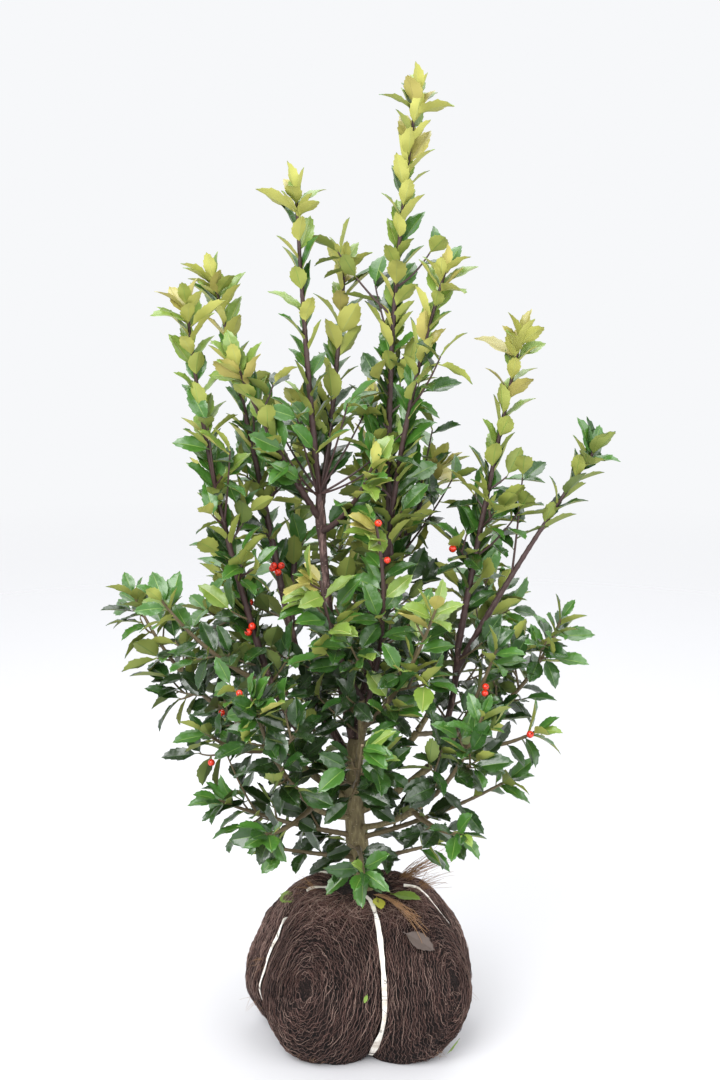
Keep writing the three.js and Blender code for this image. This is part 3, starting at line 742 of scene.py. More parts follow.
leaf_templates = [leaf_template(form) for form in LEAF_FORMS]
print("A leaf has", sum(len(faces) for faces, _ in leaf_templates[0][1]), "faces")


def plant_leaves(heap, template, leaves):
    """Adds a leaf at each frame: root, along, across, upper, size and an extra bend of its tip."""
    corners, groups = template
    roots, along, across, upper = (np.array([leaf[key] for leaf in leaves]) for key in range(4))
    sizes = np.array([leaf[4] for leaf in leaves])[:, None, None]
    bends = np.array([leaf[5] for leaf in leaves])[:, None]
    x, y, z = corners.T
    z = z[None] + bends * x[None] ** 2
    placed = along[:, None] * x[None, :, None] + across[:, None] * y[None, :, None]
    placed = roots[:, None] + (placed + upper[:, None] * z[:, :, None]) * sizes
    first = (np.arange(len(leaves)) * len(corners))[:, None, None]
    spread = [((faces[None] + first).reshape(-1, faces.shape[1]), finish) for faces, finish in groups]
    heap.add(placed.reshape(-1, 3), spread)


# %% [markdown]
# Dealing out the leaves
#
# Old leaves low and deep in the crown are nearly black-green, new ones up the shoots are fresh green, and
# the last few at each tip are yellow-green or bronze. The colour is dealt out leaf by leaf from its place
# on the plant, as a plain finish for each kind, so that it stays right when the materials are baked.

# %% A leaf at every bud
# The camera, before which leaves leave some bare wood and the berries free
CAMERA_PLACE = (0, -2.21, 1.20)
CAMERA_PITCH = math.radians(14)
LEAF_STEP = 0.0135
SHOOT_LEAF_STEP = 0.0086
LOW_LEAF_STEP = 0.0165
OWN_LEAF_STEPS = {"leader_shoot": 0.0070, "tall_left_shoot": 0.0112}
LEAF_LENGTH = 0.0435
SHOOT_LEAF_LENGTH = 0.0465
LEAF_ANGLE = math.radians(52)
SHOOT_LEAF_ANGLE = math.radians(29)
LEAF_DROOP = 0.22
# How much an upper face looks up its own twig, to the sky and out of the crown
TALL_LOOK = (0.8, 0.5, 0)
BUSH_LOOK = (0.35, 0.8, 0.42)
NEAR_AXIS = 0.02
SKIRT = 0.30
LEAF_ROLL = math.radians(24)
STEM_TIP_ANGLES = (60, 54, 48, 40, 32, 22, 12)
TWIG_TIP_ANGLES = (44, 26)
TIP_SPACING = 0.004
LEAF_TRIES = 7
# Points that stand for a blade, along it and across it
LEAF_MARKS = ((0.45, 0), (0.72, 0), (0.98, 0), (0.6, 0.17), (0.6, -0.17))
# How far they stay from other leaves, twigs and limbs, and how far they may stray into another mass's space
LEAF_CLEAR = 0.0032
WOOD_CLEAR = LEAF_CLEAR * 0.8
LIMB_CLEAR = 0.003
LEAF_STRAY = -0.006
# How far the crown may reach at its right
RIGHT_LIMIT = 0.308
# Chances: lean of a leaf from its twig, gaps along the twig, size and bend of a leaf
LEANS = (0.75, 1.3)
GAPS = (0.8, 1.2)
SIZES = (0.78, 1.12)
BENDS = (-0.12, 0.06)
TIP_SIZE, TIP_SIZE_STEP = 1.10, 0.05
KINDS = (("old", 0.28), ("dark", 0.52), ("fresh", 0.84), ("young", 1.12), ("bronze", 9.0))
# Stems whose leaves look younger or older at the tip than on the others
OWN_YOUTH = {
    "front_left_stem": 0.36, "front_stem": 0.36, "front_right_stem": 0.36,
    "right_far": -0.48}
leaf_heaps = {kind: [[] for _ in LEAF_FORMS] for kind, _ in KINDS}
MOST_MARKS = 40000
taken = np.zeros((MOST_MARKS, 3))
taken_count = 0
axils = []
chance = np.random.default_rng(20)


def leaf_axes(direction, tangent, root, roll, tall):
    """Along, across and out of the upper face, which looks to the light."""
    outward = root * (1, 1, 0) / (np.hypot(*root[:2]) + NEAR_AXIS)
    by_twig, by_sky, by_crown = TALL_LOOK if tall else BUSH_LOOK
    upper = tangent * by_twig + UP * by_sky + outward * by_crown
    upper = unit(upper - direction * (upper @ direction))
    across = np.cross(upper, direction)
    upper = upper * math.cos(roll) + across * math.sin(roll)
    return direction, np.cross(upper, direction), upper


def leaf_marks(root, axes, size):
    """Points over a leaf that stand for its blade."""
    along, across, _ = axes
    return [root + (along * u + across * v) * size for u, v in LEAF_MARKS]


def seen(points):
    """Points in the camera's picture: across and up for each metre of depth, and the depth."""
    away = np.asarray(points) - np.array(CAMERA_PLACE)
    sine, cosine = math.sin(CAMERA_PITCH), math.cos(CAMERA_PITCH)
    depth = away[..., 1] * cosine - away[..., 2] * sine
    up = away[..., 1] * sine + away[..., 2] * cosine
    return np.stack([away[..., 0] / depth, up / depth, depth], axis=-1)


# Bare wood that shows from the front: a line, its share from and to, and half the width kept clear before it
shown_wood = [(TRUNK, 0.34, 1.0, 0.017), (limbs["pollard"], 0.62, 1.0, 0.012)]
shown_wood += [(twig, 0.0, 0.6, 0.006) for twig in whorl]
SHOWN_SHOOTS = (
    "leader_shoot", "second_shoot", "tall_left_shoot", "pollard_right",
    "left_inner_shoot", "left_outer_shoot", "right_high", "right_far")
SHOWN_PARTS = ((0.06, 0.26), (0.33, 0.46), (0.54, 0.62))
SHOOT_HALF = 0.0042
SHOWN_STEPS = 16
BEFORE_WOOD = 0.004
for name in SHOWN_SHOOTS:
    shown_wood += [(stems[name], start, end, SHOOT_HALF) for start, end in SHOWN_PARTS]
shown_lines = [
    seen(curve.at(np.linspace(start, end, SHOWN_STEPS)[:, None])) for curve, start, end, _ in shown_wood]
shown_halves = np.concatenate([half / line[:, 2] for (*_, half), line in zip(shown_wood, shown_lines)])
# Berries at the front of the crown, which no leaf may hide: place across, height and number
BERRY_DEPTH = -0.08
BERRY_BEHIND = 0.05
BERRY_WINDOW = 0.0036
BERRY_PLACES = (
    (-0.099, 0.628, 4), (-0.113, 0.597, 1), (-0.118, 0.554, 2), (0.0, 0.637, 1), (0.022, 0.794, 1),
    (0.021, 0.703, 1), (0.101, 0.657, 1), (0.052, 0.600, 3), (-0.140, 0.489, 1), (-0.175, 0.453, 1),
    (-0.189, 0.397, 1), (0.127, 0.505, 2), (0.187, 0.426, 1))
berry_views = seen([(x, BERRY_DEPTH, z) for x, z, _ in BERRY_PLACES])
shown_lines = np.concatenate([*shown_lines, berry_views + (0, 0, BERRY_BEHIND)])
shown_halves = np.concatenate([shown_halves, np.full(len(berry_views), BERRY_WINDOW)])


def hides_wood(marks):
    """Whether a leaf stands before bare wood that shows from the front."""
    marks = seen(np.array(marks))[:, None]
    near = np.hypot(*np.moveaxis(marks[..., :2] - shown_lines[None, :, :2], -1, 0)) < shown_halves
    return bool((near & (marks[..., 2] < shown_lines[:, 2] - BEFORE_WOOD)).any())


def leaf_fits(marks, own):
    if max(mark[0] for mark in marks) > RIGHT_LIMIT:
        return False
    if not all(keeps_clear(at, LIMB_CLEAR) for at in marks[1:3]) or hides_wood(marks):
        return False
    if own is not None and not keeps_to_space(marks[1], own, LEAF_STRAY):
        return False
    for at in marks:
        if taken_count and np.linalg.norm(taken[:taken_count] - at, axis=1).min() < LEAF_CLEAR:
            return False
        if np.linalg.norm(wood_points - at, axis=1).min() < WOOD_CLEAR:
            return False
    return True


STEM_YOUTH, TWIG_YOUTH = 0.44, 0.34
TALL_YOUTH, BUSH_YOUTH, LOW_YOUTH = 0.28, -0.07, -0.16
YOUTH_SPREAD = 0.15


def youth_of(order, share, t, tall, low):
    """How young a leaf is, from its share along its twig and its twig's share along the stem."""
    on_stem = share if order == 0 else t
    base = TALL_YOUTH if tall else LOW_YOUTH if low else BUSH_YOUTH
    return STEM_YOUTH * on_stem + TWIG_YOUTH * share + base + chance.normal(0, YOUTH_SPREAD)


def leaf_step_of(name, curve, on_shoot):
    """How far apart leaves sit on a stem or a twig."""
    if on_shoot:
        return OWN_LEAF_STEPS.get(name, SHOOT_LEAF_STEP)
    step = LOW_LEAF_STEP if curve.tip[2] < LOW_MASS else LEAF_STEP
    return step / math.sqrt(OPEN_MASSES.get(name, 1))


mass_names = list(stems)
for own, curve, first, turn, order, t in carriers:
    name = None if own is None else mass_names[own]
    tall = own is not None and stems[name].tip[2] > HIGH_SHOOT
    on_shoot = tall and order == 0
    buds = []
    along = first
    angle = turn
    low = curve.tip[2] < OLD_BELOW
    droop = 0 if tall or curve.tip[2] < SKIRT else LEAF_DROOP
    leaf_step = leaf_step_of(name, curve, on_shoot)
    leaf_length = SHOOT_LEAF_LENGTH if on_shoot else LEAF_LENGTH
    leaf_angle = SHOOT_LEAF_ANGLE if on_shoot else LEAF_ANGLE
    while along < curve.length - leaf_step * 0.5:
        buds.append((along / curve.length, angle, leaf_angle * chance.uniform(*LEANS), 1.0))
        angle += GOLDEN_TURN
        along += leaf_step * chance.uniform(*GAPS)
    tip_angles = TWIG_TIP_ANGLES if order else STEM_TIP_ANGLES
    for tip_leaf, lean in enumerate(tip_angles):
        below = TIP_SPACING * (len(tip_angles) - 1 - tip_leaf)
        tip_size = TIP_SIZE - TIP_SIZE_STEP * tip_leaf
        buds.append((1 - below / curve.length, angle, math.radians(lean), tip_size))
        angle += GOLDEN_TURN
    for share, angle, lean, tip_size in buds:
        tangent = curve.tangent(share)
        size = leaf_length * chance.uniform(*SIZES) * tip_size
        roll = chance.normal(0, LEAF_ROLL)
        for tried in range(LEAF_TRIES):
            direction = leaving(tangent, angle + tried * GOLDEN_TURN, lean)
            direction = unit(direction - UP * droop)
            root = curve.at(share)
            axes = leaf_axes(direction, tangent, root, roll, tall)
            marks = leaf_marks(root, axes, size)
            if leaf_fits(marks, own):
                taken[taken_count:taken_count + len(marks)] = marks
                taken_count += len(marks)
                youth = youth_of(order, share, t, tall, low) + OWN_YOUTH.get(name, 0) * share
                kind = next(kind for kind, limit in KINDS if youth < limit)
                form = int(chance.integers(len(LEAF_FORMS)))
                leaf_heaps[kind][form].append((root, *axes, size, chance.uniform(*BENDS)))
                axils.append((root, direction))
                break
print(len(axils), "leaves")

# %% Leaf pieces, one for each kind
LEAF_SHARP = 62


def leaf_finish(name, upper, under, rib, gloss):
    """The three finishes of a kind of leaf: its upper face, its underside and its midrib."""
    top = Finish(f"{name}_leaf_upper")
    place = top.object_place()
    patch = top.cloud(place, 14, 2)
    mottle = top.cloud(place, 150, 3, 0.5)
    base = top.mix(patch, shade(upper, 0.74), shade(upper, 1.32))
    base = top.mix(mottle * 0.35, base, shade(upper, 1.5))
    height = top.bump(top.cloud(place, 75, 2) + 0.15 * mottle, 0.0040, 0.42)
    top.surface(Base_Color=base, Roughness=gloss + 0.14 * mottle, Normal=height, Coat_Weight=0.42,
                Coat_Roughness=0.18)
    low = Finish(f"{name}_leaf_underside")
    place = low.object_place()
    patch = low.cloud(place, 22, 3)
    fine = low.cloud(place, 170, 2, 0.5)
    base = low.mix(patch, shade(under, 0.84), shade(under, 1.14))
    low.surface(Base_Color=base, Roughness=0.56 + 0.12 * fine, Normal=low.bump(fine, 0.0003, 0.15))
    edge = Finish(f"{name}_leaf_rib")
    base = edge.mix(edge.cloud(edge.object_place(), 60), shade(rib, 0.88), shade(rib, 1.12))
    edge.surface(Base_Color=base, Roughness=0.45)
    return [top.material, low.material, edge.material]


LEAF_TONES = {
    "old": (tone(25, 47, 16), tone(98, 114, 54), tone(62, 90, 44), 0.22),
    "dark": (tone(35, 67, 23), tone(122, 134, 60), tone(84, 116, 52), 0.22),
    "fresh": (tone(56, 97, 33), tone(152, 160, 76), tone(118, 148, 68), 0.25),
    "young": (tone(104, 128, 50), tone(172, 172, 86), tone(160, 168, 94), 0.36),
    "bronze": (tone(142, 136, 68), tone(174, 164, 88), tone(160, 148, 88), 0.42),
}
for kind, forms in leaf_heaps.items():
    heap = Heap()
    for template, leaves in zip(leaf_templates, forms):
        if leaves:
            plant_leaves(heap, template, leaves)
    piece = heap.piece(f"{kind}_leaves", leaf_finish(kind, *LEAF_TONES[kind]), LEAF_SHARP)
    settle(piece, MASS_NODES)

# %% [markdown]
# Stems and twigs
#
# Young shoots are purple-brown, smooth and a little shiny, with a slight swelling at each leaf, and low in
# the crown they are olive-brown. They are round tubes that narrow to their tips, joined into one mesh of
# stems and one of twigs.

# %% Stems and twigs as joined tubes
NODE_SWELL = 0.16
OLIVE_BELOW = 0.62
BARK_SHARP = 50
STEM_FINENESS, TWIG_FINENESS = (0.0034, 8), (0.006, 6)


def young_bark(name, dark, light):
    bark = Finish(name)
    place = bark.object_place((1, 1, 0.35))
    patch = bark.cloud(place, 30, 3)
    fine = bark.cloud(place, 700, 4, 0.65)
    base = bark.mix(patch, dark, light)
    base = bark.mix(fine * 0.4, base, shade(light, 1.3))
    return bark.surface(Base_Color=base, Roughness=0.42 + 0.2 * fine, Normal=bark.bump(fine, 0.0005, 0.6))


stem_heap = Heap()
twig_heap = Heap()
for _, curve, _, _, order, _ in carriers:
    is_stem = order == 0
    step, sides = STEM_FINENESS if is_stem else TWIG_FINENESS
    count = max(4, math.ceil(curve.length / step)) + 1
    shares = np.linspace(0, 1, count)
    start, end = (TALL_STEM_RADII if curve.tip[2] > HIGH_SHOOT else STEM_RADII) if is_stem else TWIG_RADII
    radii = mix(start, end, shares)
    if is_stem:
        radii *= 1 + NODE_SWELL * np.maximum(0, np.cos(2 * math.pi * shares * curve.length / LEAF_STEP)) ** 6
    heap = stem_heap if is_stem else twig_heap
    tubes(heap, curve.points(count)[None], radii[None], sides, int(curve.tip[2] < OLIVE_BELOW))
young_barks = [young_bark("purple_brown_bark", tone(32, 21, 23), tone(76, 54, 52)),
               young_bark("olive_brown_bark", tone(56, 46, 34), tone(112, 98, 70))]
for name, heap in (("stems", stem_heap), ("twigs", twig_heap)):
    settle(heap.piece(name, young_barks, BARK_SHARP), MASS_NODES)

# %% [markdown]
# Trunk and boughs
#
# The trunk is a thumb thick with a slight flare, and its bark is olive-brown, finely cracked along the
# grain, with pale pores. A cylinder would look turned on a lathe, so a circle is extruded ring by ring
# along each limb, and every corner is then pushed in or out by noise that is stretched along the limb.

# %% Limbs with bark relief
BARK_RELIEF = 0.00075
BOUGH_RELIEF_SHARE = 0.6
RELIEF_SHARP = 60
TRUNK_FINENESS, BOUGH_FINENESS = (44, 0.0018), (20, 0.003)
# Scale across the limb, scale along it, share of the height and shift of the noise
RELIEF_LAYERS = ((420, 60, 0.55, (0, 0, 0)), (60, 45, 0.90, (7, 3, 1)), (900, 500, 0.25, (0, 0, 0)))
COLLAR = 0.0010
COLLAR_REACH = 0.014


def relief(place, along, size):
    """How far the bark stands out: long ridges, lumps and a fine grain."""
    height = 0
    for across, down, share, shift in RELIEF_LAYERS:
        at = Vector((place.x * across, place.y * across, along * down)) + Vector(shift)
        height += noise.noise(at) * share
    return size * height


def ring_place(curve, share, radius):
    """The transform that takes a unit circle to its ring on a limb."""
    tangent = curve.tangent(share)
    side, other = square_to(tangent)
    turn = Matrix((side * radius, np.cross(tangent, side) * radius, tangent * radius)).transposed().to_4x4()
    return Matrix.Translation(curve.at(share)) @ turn


def add_limb(shell, curve, radius_at, sides, step, size, collars):
    """Extrudes a circle along a curve, closes its ends and gives it its relief."""
    made = bmesh.ops.create_circle(shell, cap_ends=True, segments=sides, radius=1.0)["verts"]
    rings = max(3, math.ceil(curve.length / step))
    last = ring_place(curve, 0, radius_at(0))
    bmesh.ops.transform(shell, matrix=last, verts=made)
    bmesh.ops.reverse_faces(shell, faces=list({f for v in made for f in v.link_faces}))
    edges = list(dict.fromkeys(edge for vert in made for edge in vert.link_edges))
    corners = [(vert, 0.0) for vert in made]
    for ring in range(1, rings + 1):
        share = ring / rings
        here = ring_place(curve, share, radius_at(share))
        grown = bmesh.ops.extrude_edge_only(shell, edges=edges)["geom"]
        made = [part for part in grown if isinstance(part, bmesh.types.BMVert)]
        edges = [part for part in grown if isinstance(part, bmesh.types.BMEdge)
                 and all(vert in made for vert in part.verts)]
        bmesh.ops.transform(shell, matrix=here @ last.inverted(), verts=made)
        last = here
        corners += [(vert, share) for vert in made]
    bmesh.ops.holes_fill(shell, edges=edges)
    for vert, share in corners:
        centre = Vector(curve.at(share))
        out = (vert.co - centre).normalized()
        lift = relief(vert.co, share * curve.length, size)
        for place in collars:
            away = (Vector(place) - centre).length
            lift += COLLAR * math.exp(-((away / COLLAR_REACH) ** 2))
        vert.co += out * lift


def bark_piece(name, limb_list, sides, step, size, materials):
    """One mesh of limbs, each with its curve, radius, places of its forks and index of its finish."""
    shell = bmesh.new()
    for limb, radius_at, collars, finish in limb_list:
        before = set(shell.faces)
        add_limb(shell, limb, radius_at, sides, step, size, collars)
        for face in set(shell.faces) - before:
            face.material_index = finish
    bmesh.ops.recalc_face_normals(shell, faces=shell.faces)
    print(name, "has", len(shell.faces), "faces")
    return shell_object(name, shell, materials, RELIEF_SHARP)


def old_bark(name, dark, middle, light, pore):
    bark = Finish(name)
    place = bark.object_place((1, 1, 0.22))
    streak = bark.cloud(place, 260, 5, 0.62)
    patch = bark.cloud(bark.object_place(), 34, 3)
    pores = bark.node("ShaderNodeTexVoronoi", {"feature": "F1"}, {
        "Vector": bark.object_place((1, 1, 2.2)), "Scale": 150})
    spots = bark.ramp(pores, (0.10, WHITE), (0.20, BLACK))
    base = bark.ramp(streak, (0.30, dark), (0.50, middle), (0.72, light))
    base = bark.mix(patch * 0.45, base, shade(middle, 0.6))
    base = bark.mix(spots * 0.5, base, pore)
    height = bark.bump(streak + 0.35 * spots, 0.0011, 0.9)
    return bark.surface(Base_Color=base, Roughness=0.66 + 0.2 * streak, Normal=height)


def trunk_radius(share):
    return mix(*TRUNK_RADII, share) * TRUNK_SHARE + TRUNK_FLARE * math.exp(-share / FLARE_SHARE)


def taper(radii):
    return lambda share: mix(*radii, share) * CORE_SHARE


# The bark's ridges stand out from a core a little thinner than the frame's limb
CORE_SHARE = 0.80
TRUNK_SHARE = 0.88
# Boughs that end below this height have the trunk's bark
OLD_BOUGH = 0.48
starts = {name: [] for name in limbs}
for carrier, share, *_ in [*BOUGHS.values(), *MASSES.values()]:
    if share < 1:
        starts[carrier].append(limbs[carrier].at(share))
trunk_finish = old_bark(
    "trunk_bark", tone(82, 72, 50), tone(120, 108, 76), tone(156, 144, 106), tone(184, 172, 142))
bough_finish = old_bark(
    "bough_bark", tone(30, 19, 19), tone(68, 48, 44), tone(148, 120, 114), tone(188, 166, 158))
trunk_list = [(TRUNK, trunk_radius, starts["trunk"], 0)]
trunk_piece = bark_piece("trunk_with_bark", trunk_list, *TRUNK_FINENESS, BARK_RELIEF, [trunk_finish])
settle(trunk_piece, ["trunk"])
bough_list = [(limbs[name], taper(row[4]), starts[name], int(limbs[name].tip[2] < OLD_BOUGH))
              for name, row in BOUGHS.items()]
bough_piece = bark_piece(
    "boughs_with_bark", bough_list, *BOUGH_FINENESS, BARK_RELIEF * BOUGH_RELIEF_SHARE,
    [bough_finish, trunk_finish])
settle(bough_piece, BOUGH_NODES)

# %% [markdown]
# The root ball
#
# The ball is soil and roots in a wrap of coir, drawn in to five lobes by straps that run from the foot of
# the trunk to the ground. A plain sphere would miss the lobes, so a sphere's corners are moved to the
# frame's own outline, which turns about the axis and is pulled in at each groove, and noise adds lumps. The
# corner's place on its lobe is kept as an attribute, because the fibres of the coir lie in rings round the
# middle of each lobe.

# %% The outline of the ball
BALL_RADIUS, BALL_DEPTH, BALL_TOP, BALL_SINK = 0.148, 0.87, 0.205, 0.045
BALL_SHOULDER, BALL_TUCK, BALL_LOW = 0.46, 1.75, 1.12
DIMPLE_DEPTH, DIMPLE_SHARE = 0.006, 0.05
GROOVES = (-80, -8, 64, 136, 192, 280)
BALL_LOBES = len(GROOVES) - 1
LOBE_OUT = (1.04, 1.02, 1.0, 0.99, 0.99)
GROOVE_BOW, BOW_SHARE = 0.085, 0.60
GROOVE_DEPTH, GROOVE_DROP, GROOVE_SHARP = 0.17, 0.006, 0.62
PINCH_DEPTH, PINCH_FROM, PINCH_TO = 0.30, 0.45, 0.72
RING_SHARE = 0.39
RING_UP, RING_DOWN = 0.35, 0.47
BALL_LUMP = 0.0016
# Scale and height of the lumps of soil, which also push the straps out, and of those of the coir
SOIL = ((12, 2.2), (34, 1.5))
COIR = ((120, 0.9), (430, 0.4))


def groove_sway(share):
    """How far the grooves swing aside on their way down the ball."""
    return GROOVE_BOW * np.sin(math.pi * share / BOW_SHARE)


def lobe_turn(share, azimuth):
    """Where a place lies among the lobes: whole numbers are grooves."""
    degrees = np.degrees(azimuth - groove_sway(share))
    return np.interp((degrees - GROOVES[0]) % 360 + GROOVES[0], GROOVES, range(BALL_LOBES + 1))


def azimuth_at(turn, share):
    return np.radians(np.interp(turn % BALL_LOBES, range(BALL_LOBES + 1), GROOVES)) + groove_sway(share)


def ball_place(share, azimuth):
    """Places on the ball: share runs from its crown to its foot, azimuth turns about its axis."""
    share, azimuth = np.broadcast_arrays(np.asarray(share, float), np.asarray(azimuth, float))
    angle = share * math.pi
    sine = np.maximum(np.sin(angle), 0)
    out = BALL_RADIUS * sine ** mix(BALL_SHOULDER, BALL_TUCK, share)
    up = np.maximum((1 + np.cos(angle)) / 2, 0) ** BALL_LOW * (BALL_TOP + BALL_SINK) - BALL_SINK
    up = up - DIMPLE_DEPTH * np.exp(-((share / DIMPLE_SHARE) ** 2))
    turn = lobe_turn(share, azimuth)
    swell = np.abs(np.sin(math.pi * turn))
    groove = 1 - swell ** GROOVE_SHARP
    pinch = np.clip((share - PINCH_FROM) / (PINCH_TO - PINCH_FROM), 0, 1)
    depth = GROOVE_DEPTH * np.sqrt(sine) + PINCH_DEPTH * pinch ** 2 * (3 - 2 * pinch)
    lobe_out = 1 + (np.array(LOBE_OUT)[turn.astype(int) % BALL_LOBES] - 1) * swell
    bulge = 1 + 0.03 * np.sin(2 * azimuth + 2.8) + 0.015 * np.sin(3 * azimuth + 2)
    radius = out * (1 - depth * groove) * bulge * lobe_out
    up = up - GROOVE_DROP * groove * sine ** 2
    return np.stack([radius * np.cos(azimuth), BALL_DEPTH * radius * np.sin(azimuth), up], axis=-1)


def lump(place, *layers):
    """How far a place on the ball stands out, by layers of lumps."""
    return sum(BALL_LUMP * sum(noise.noise(Vector(place) * scale) * high for scale, high in layer)
               for layer in layers)


def on_lobe(turn, share, lobe):
    """Across and down from the middle of a lobe, about 1 at its rim."""
    down = (share - RING_SHARE) / (RING_DOWN if share > RING_SHARE else RING_UP)
    return 2 * (turn - lobe) - 1, down


# %% The coir-wrapped ball
BALL_FOOT = 0.0004


def on_sphere(place):
    """Share down a unit sphere and azimuth of a place on it."""
    return math.acos(max(-1.0, min(1.0, place.z))) / math.pi, math.atan2(place.y, place.x)


ball = bmesh.new()
bmesh.ops.create_uvsphere(ball, u_segments=288, v_segments=150, radius=1.0)
weave = ball.loops.layers.uv.new("lobe_place")
for face in ball.faces:
    middle_share, middle_azimuth = on_sphere(face.calc_center_median())
    middle_turn = float(lobe_turn(middle_share, middle_azimuth))
    for loop in face.loops:
        share, azimuth = on_sphere(loop.vert.co)
        if share in (0, 1):
            azimuth = middle_azimuth
        turn = float(lobe_turn(share, azimuth))
        turn -= BALL_LOBES * round((turn - middle_turn) / BALL_LOBES)
        loop[weave].uv = on_lobe(turn, share, math.floor(middle_turn))
for vert in ball.verts:
    share, azimuth = on_sphere(vert.co)
    place = ball_place(share, azimuth)
    if share in (0, 1):
        place[:2] = 0
    out = Vector((math.cos(azimuth), math.sin(azimuth), math.cos(share * math.pi))).normalized()
    vert.co = Vector(place) + out * lump(place, SOIL, COIR)
cut = bmesh.ops.bisect_plane(
    ball, geom=ball.verts[:] + ball.edges[:] + ball.faces[:], plane_co=(0, 0, BALL_FOOT),
    plane_no=(0, 0, 1), clear_inner=True)
bmesh.ops.holes_fill(ball, edges=[part for part in cut["geom_cut"] if isinstance(part, bmesh.types.BMEdge)])
bmesh.ops.recalc_face_normals(ball, faces=ball.faces)
for vert in ball.verts:
    vert.co.z = max(vert.co.z, BALL_FOOT)
print("The ball has", len(ball.faces), "faces")

# %% The finish of the wrap: strands along the rings of each lobe, and dark holes between them
STRANDS_PER_RING = 62
HOLES_PER_RING, HOLES_ROUND = 22, 15
COIR_SHEEN = 0.22
coir = Finish("coir_wrap")
lobe_place = coir.node("ShaderNodeUVMap", {"uv_map": "lobe_place"})
across, down = (coir.node("ShaderNodeSeparateXYZ", None, {0: lobe_place}, axis) for axis in (0, 1))
place = coir.object_place()
drift = coir.cloud(place, 26, 3) - 0.5
ring = (across * across + down * down) ** 0.5 + drift * 0.16
turn = coir.node("ShaderNodeMath", {"operation": "ARCTAN2"}, {0: down, 1: across})
along = coir.node(
    "ShaderNodeCombineXYZ", None, {"X": ring * STRANDS_PER_RING, "Y": turn * 3.2, "Z": drift * 5})
strands = coir.cloud(along, 1.0, 5, 0.7)
mesh_place = coir.node(
    "ShaderNodeCombineXYZ", None, {"X": ring * HOLES_PER_RING, "Y": turn * HOLES_ROUND, "Z": drift * 2})
cells = coir.node("ShaderNodeTexVoronoi", {"feature": "F1"}, {"Vector": mesh_place, "Scale": 1.0})
pores = coir.cloud(place, 420, 4, 0.7)
holes = coir.ramp(cells + (pores - 0.5) * 0.8, (0.26, WHITE), (0.50, BLACK))
soil = coir.ramp(strands * 0.65 + pores * 0.35, (0.38, tone(10, 6, 5)), (0.48, tone(30, 20, 18)),
                 (0.57, tone(62, 45, 41)), (0.66, tone(116, 92, 83)), (0.76, tone(158, 132, 118)))
soil = coir.mix(coir.cloud(place, 9, 2) * 0.3, soil, tone(28, 19, 17))
soil = coir.mix(holes * 0.95, soil, tone(8, 6, 6))
height = coir.bump(strands * 0.8 + pores * 0.7 - holes * 0.7, 0.0032, 1.0)
coir_material = coir.surface(
    Base_Color=soil, Roughness=0.80 + 0.16 * pores, Normal=height, Specular_IOR_Level=COIR_SHEEN)
settle(shell_object("root_ball_wrap", ball, [coir_material]), ["root_ball"])

# %% [markdown]
# Coir fibres
#
# The wrap is matted coir, and its fibres swirl round each lobe. Bump alone would look like felt, so
# thousands of thin fibres lie on the ball as real strands, each a run of one ring, a little lifted in its
# middle. Near the trunk they run down from it. They are three-sided tubes, shared out among a dark, a
# red-brown and a straw colour.

# %% Strands round the lobes
FIBRE_RADIUS = 0.00017
FIBRE_POINTS = 7
FIBRE_CENTRE = np.array((0, 0, 0.09))
LOWEST_FIBRE = 0.0012
LOBE_SIZE = 0.085
FIBRE_RINGS = (0.05, 1.35)
FIBRE_LENGTHS = (0.008, 0.036)
FIBRE_WAVER = 0.015
FIBRE_WIDTHS = (0.7, 1.7)
FIBRE_LIFT = 0.0003
FIBRE_LOFTS = (0.2, 1.7)
CROWN_STARTS, CROWN_RUNS = (0.02, 0.12), (0.04, 0.14)
CROWN_WAVER = 0.10
BALL_SHARES = (0.02, 0.99)
# Name, number round the lobes, number from the trunk's foot, colour and lift of the middle
FIBRE_KINDS = (
    ("dark_fibres", 3200, 600, tone(20, 13, 12), 0.0008),
    ("red_brown_fibres", 3300, 800, tone(98, 73, 67), 0.0010),
    ("straw_fibres", 1300, 320, tone(150, 126, 115), 0.0012),
)
steps = np.linspace(0, 1, FIBRE_POINTS)


def fibre_finish(name, colour):
    fibre = Finish(name)
    patch = fibre.cloud(fibre.object_place(), 90, 2)
    base = fibre.mix(patch, shade(colour, 0.55), shade(colour, 1.4))
    return fibre.surface(Base_Color=base, Roughness=0.66, Specular_IOR_Level=COIR_SHEEN)


def fibre_piece(heap, name, finish_name, colour):
    """Makes heaped fibres a piece of the wrap."""
    settle(heap.piece(name, [fibre_finish(finish_name, colour)]), ["root_ball"])


def round_lobe(lobe, ring, turn):
    """Share down the ball and azimuth of a place on a ring round the middle of a lobe."""
    down = ring * np.sin(turn)
    shares = RING_SHARE + down * np.where(down > 0, RING_DOWN, RING_UP)
    return shares, azimuth_at(lobe + 0.5 + 0.5 * ring * np.cos(turn), shares)


def ring_fibres(count):
    """Shares down the ball and azimuths of strands that run round the middles of the lobes."""
    lobe = chance.integers(BALL_LOBES, size=count)[:, None]
    radius = chance.uniform(*FIBRE_RINGS, count) ** 0.8
    start = chance.uniform(0, 2 * math.pi, count)[:, None]
    length = chance.uniform(*FIBRE_LENGTHS, count) / (0.020 + LOBE_SIZE * radius)
    turn = start + length[:, None] * steps
    waver = chance.normal(0, FIBRE_WAVER, (count, 3))
    ring = radius[:, None] + waver[:, :1] * np.sin(3.1 * steps)
    ring += waver[:, 1:2] * np.sin(7 * steps + waver[:, 2:] * 60)
    return round_lobe(lobe, ring, turn)


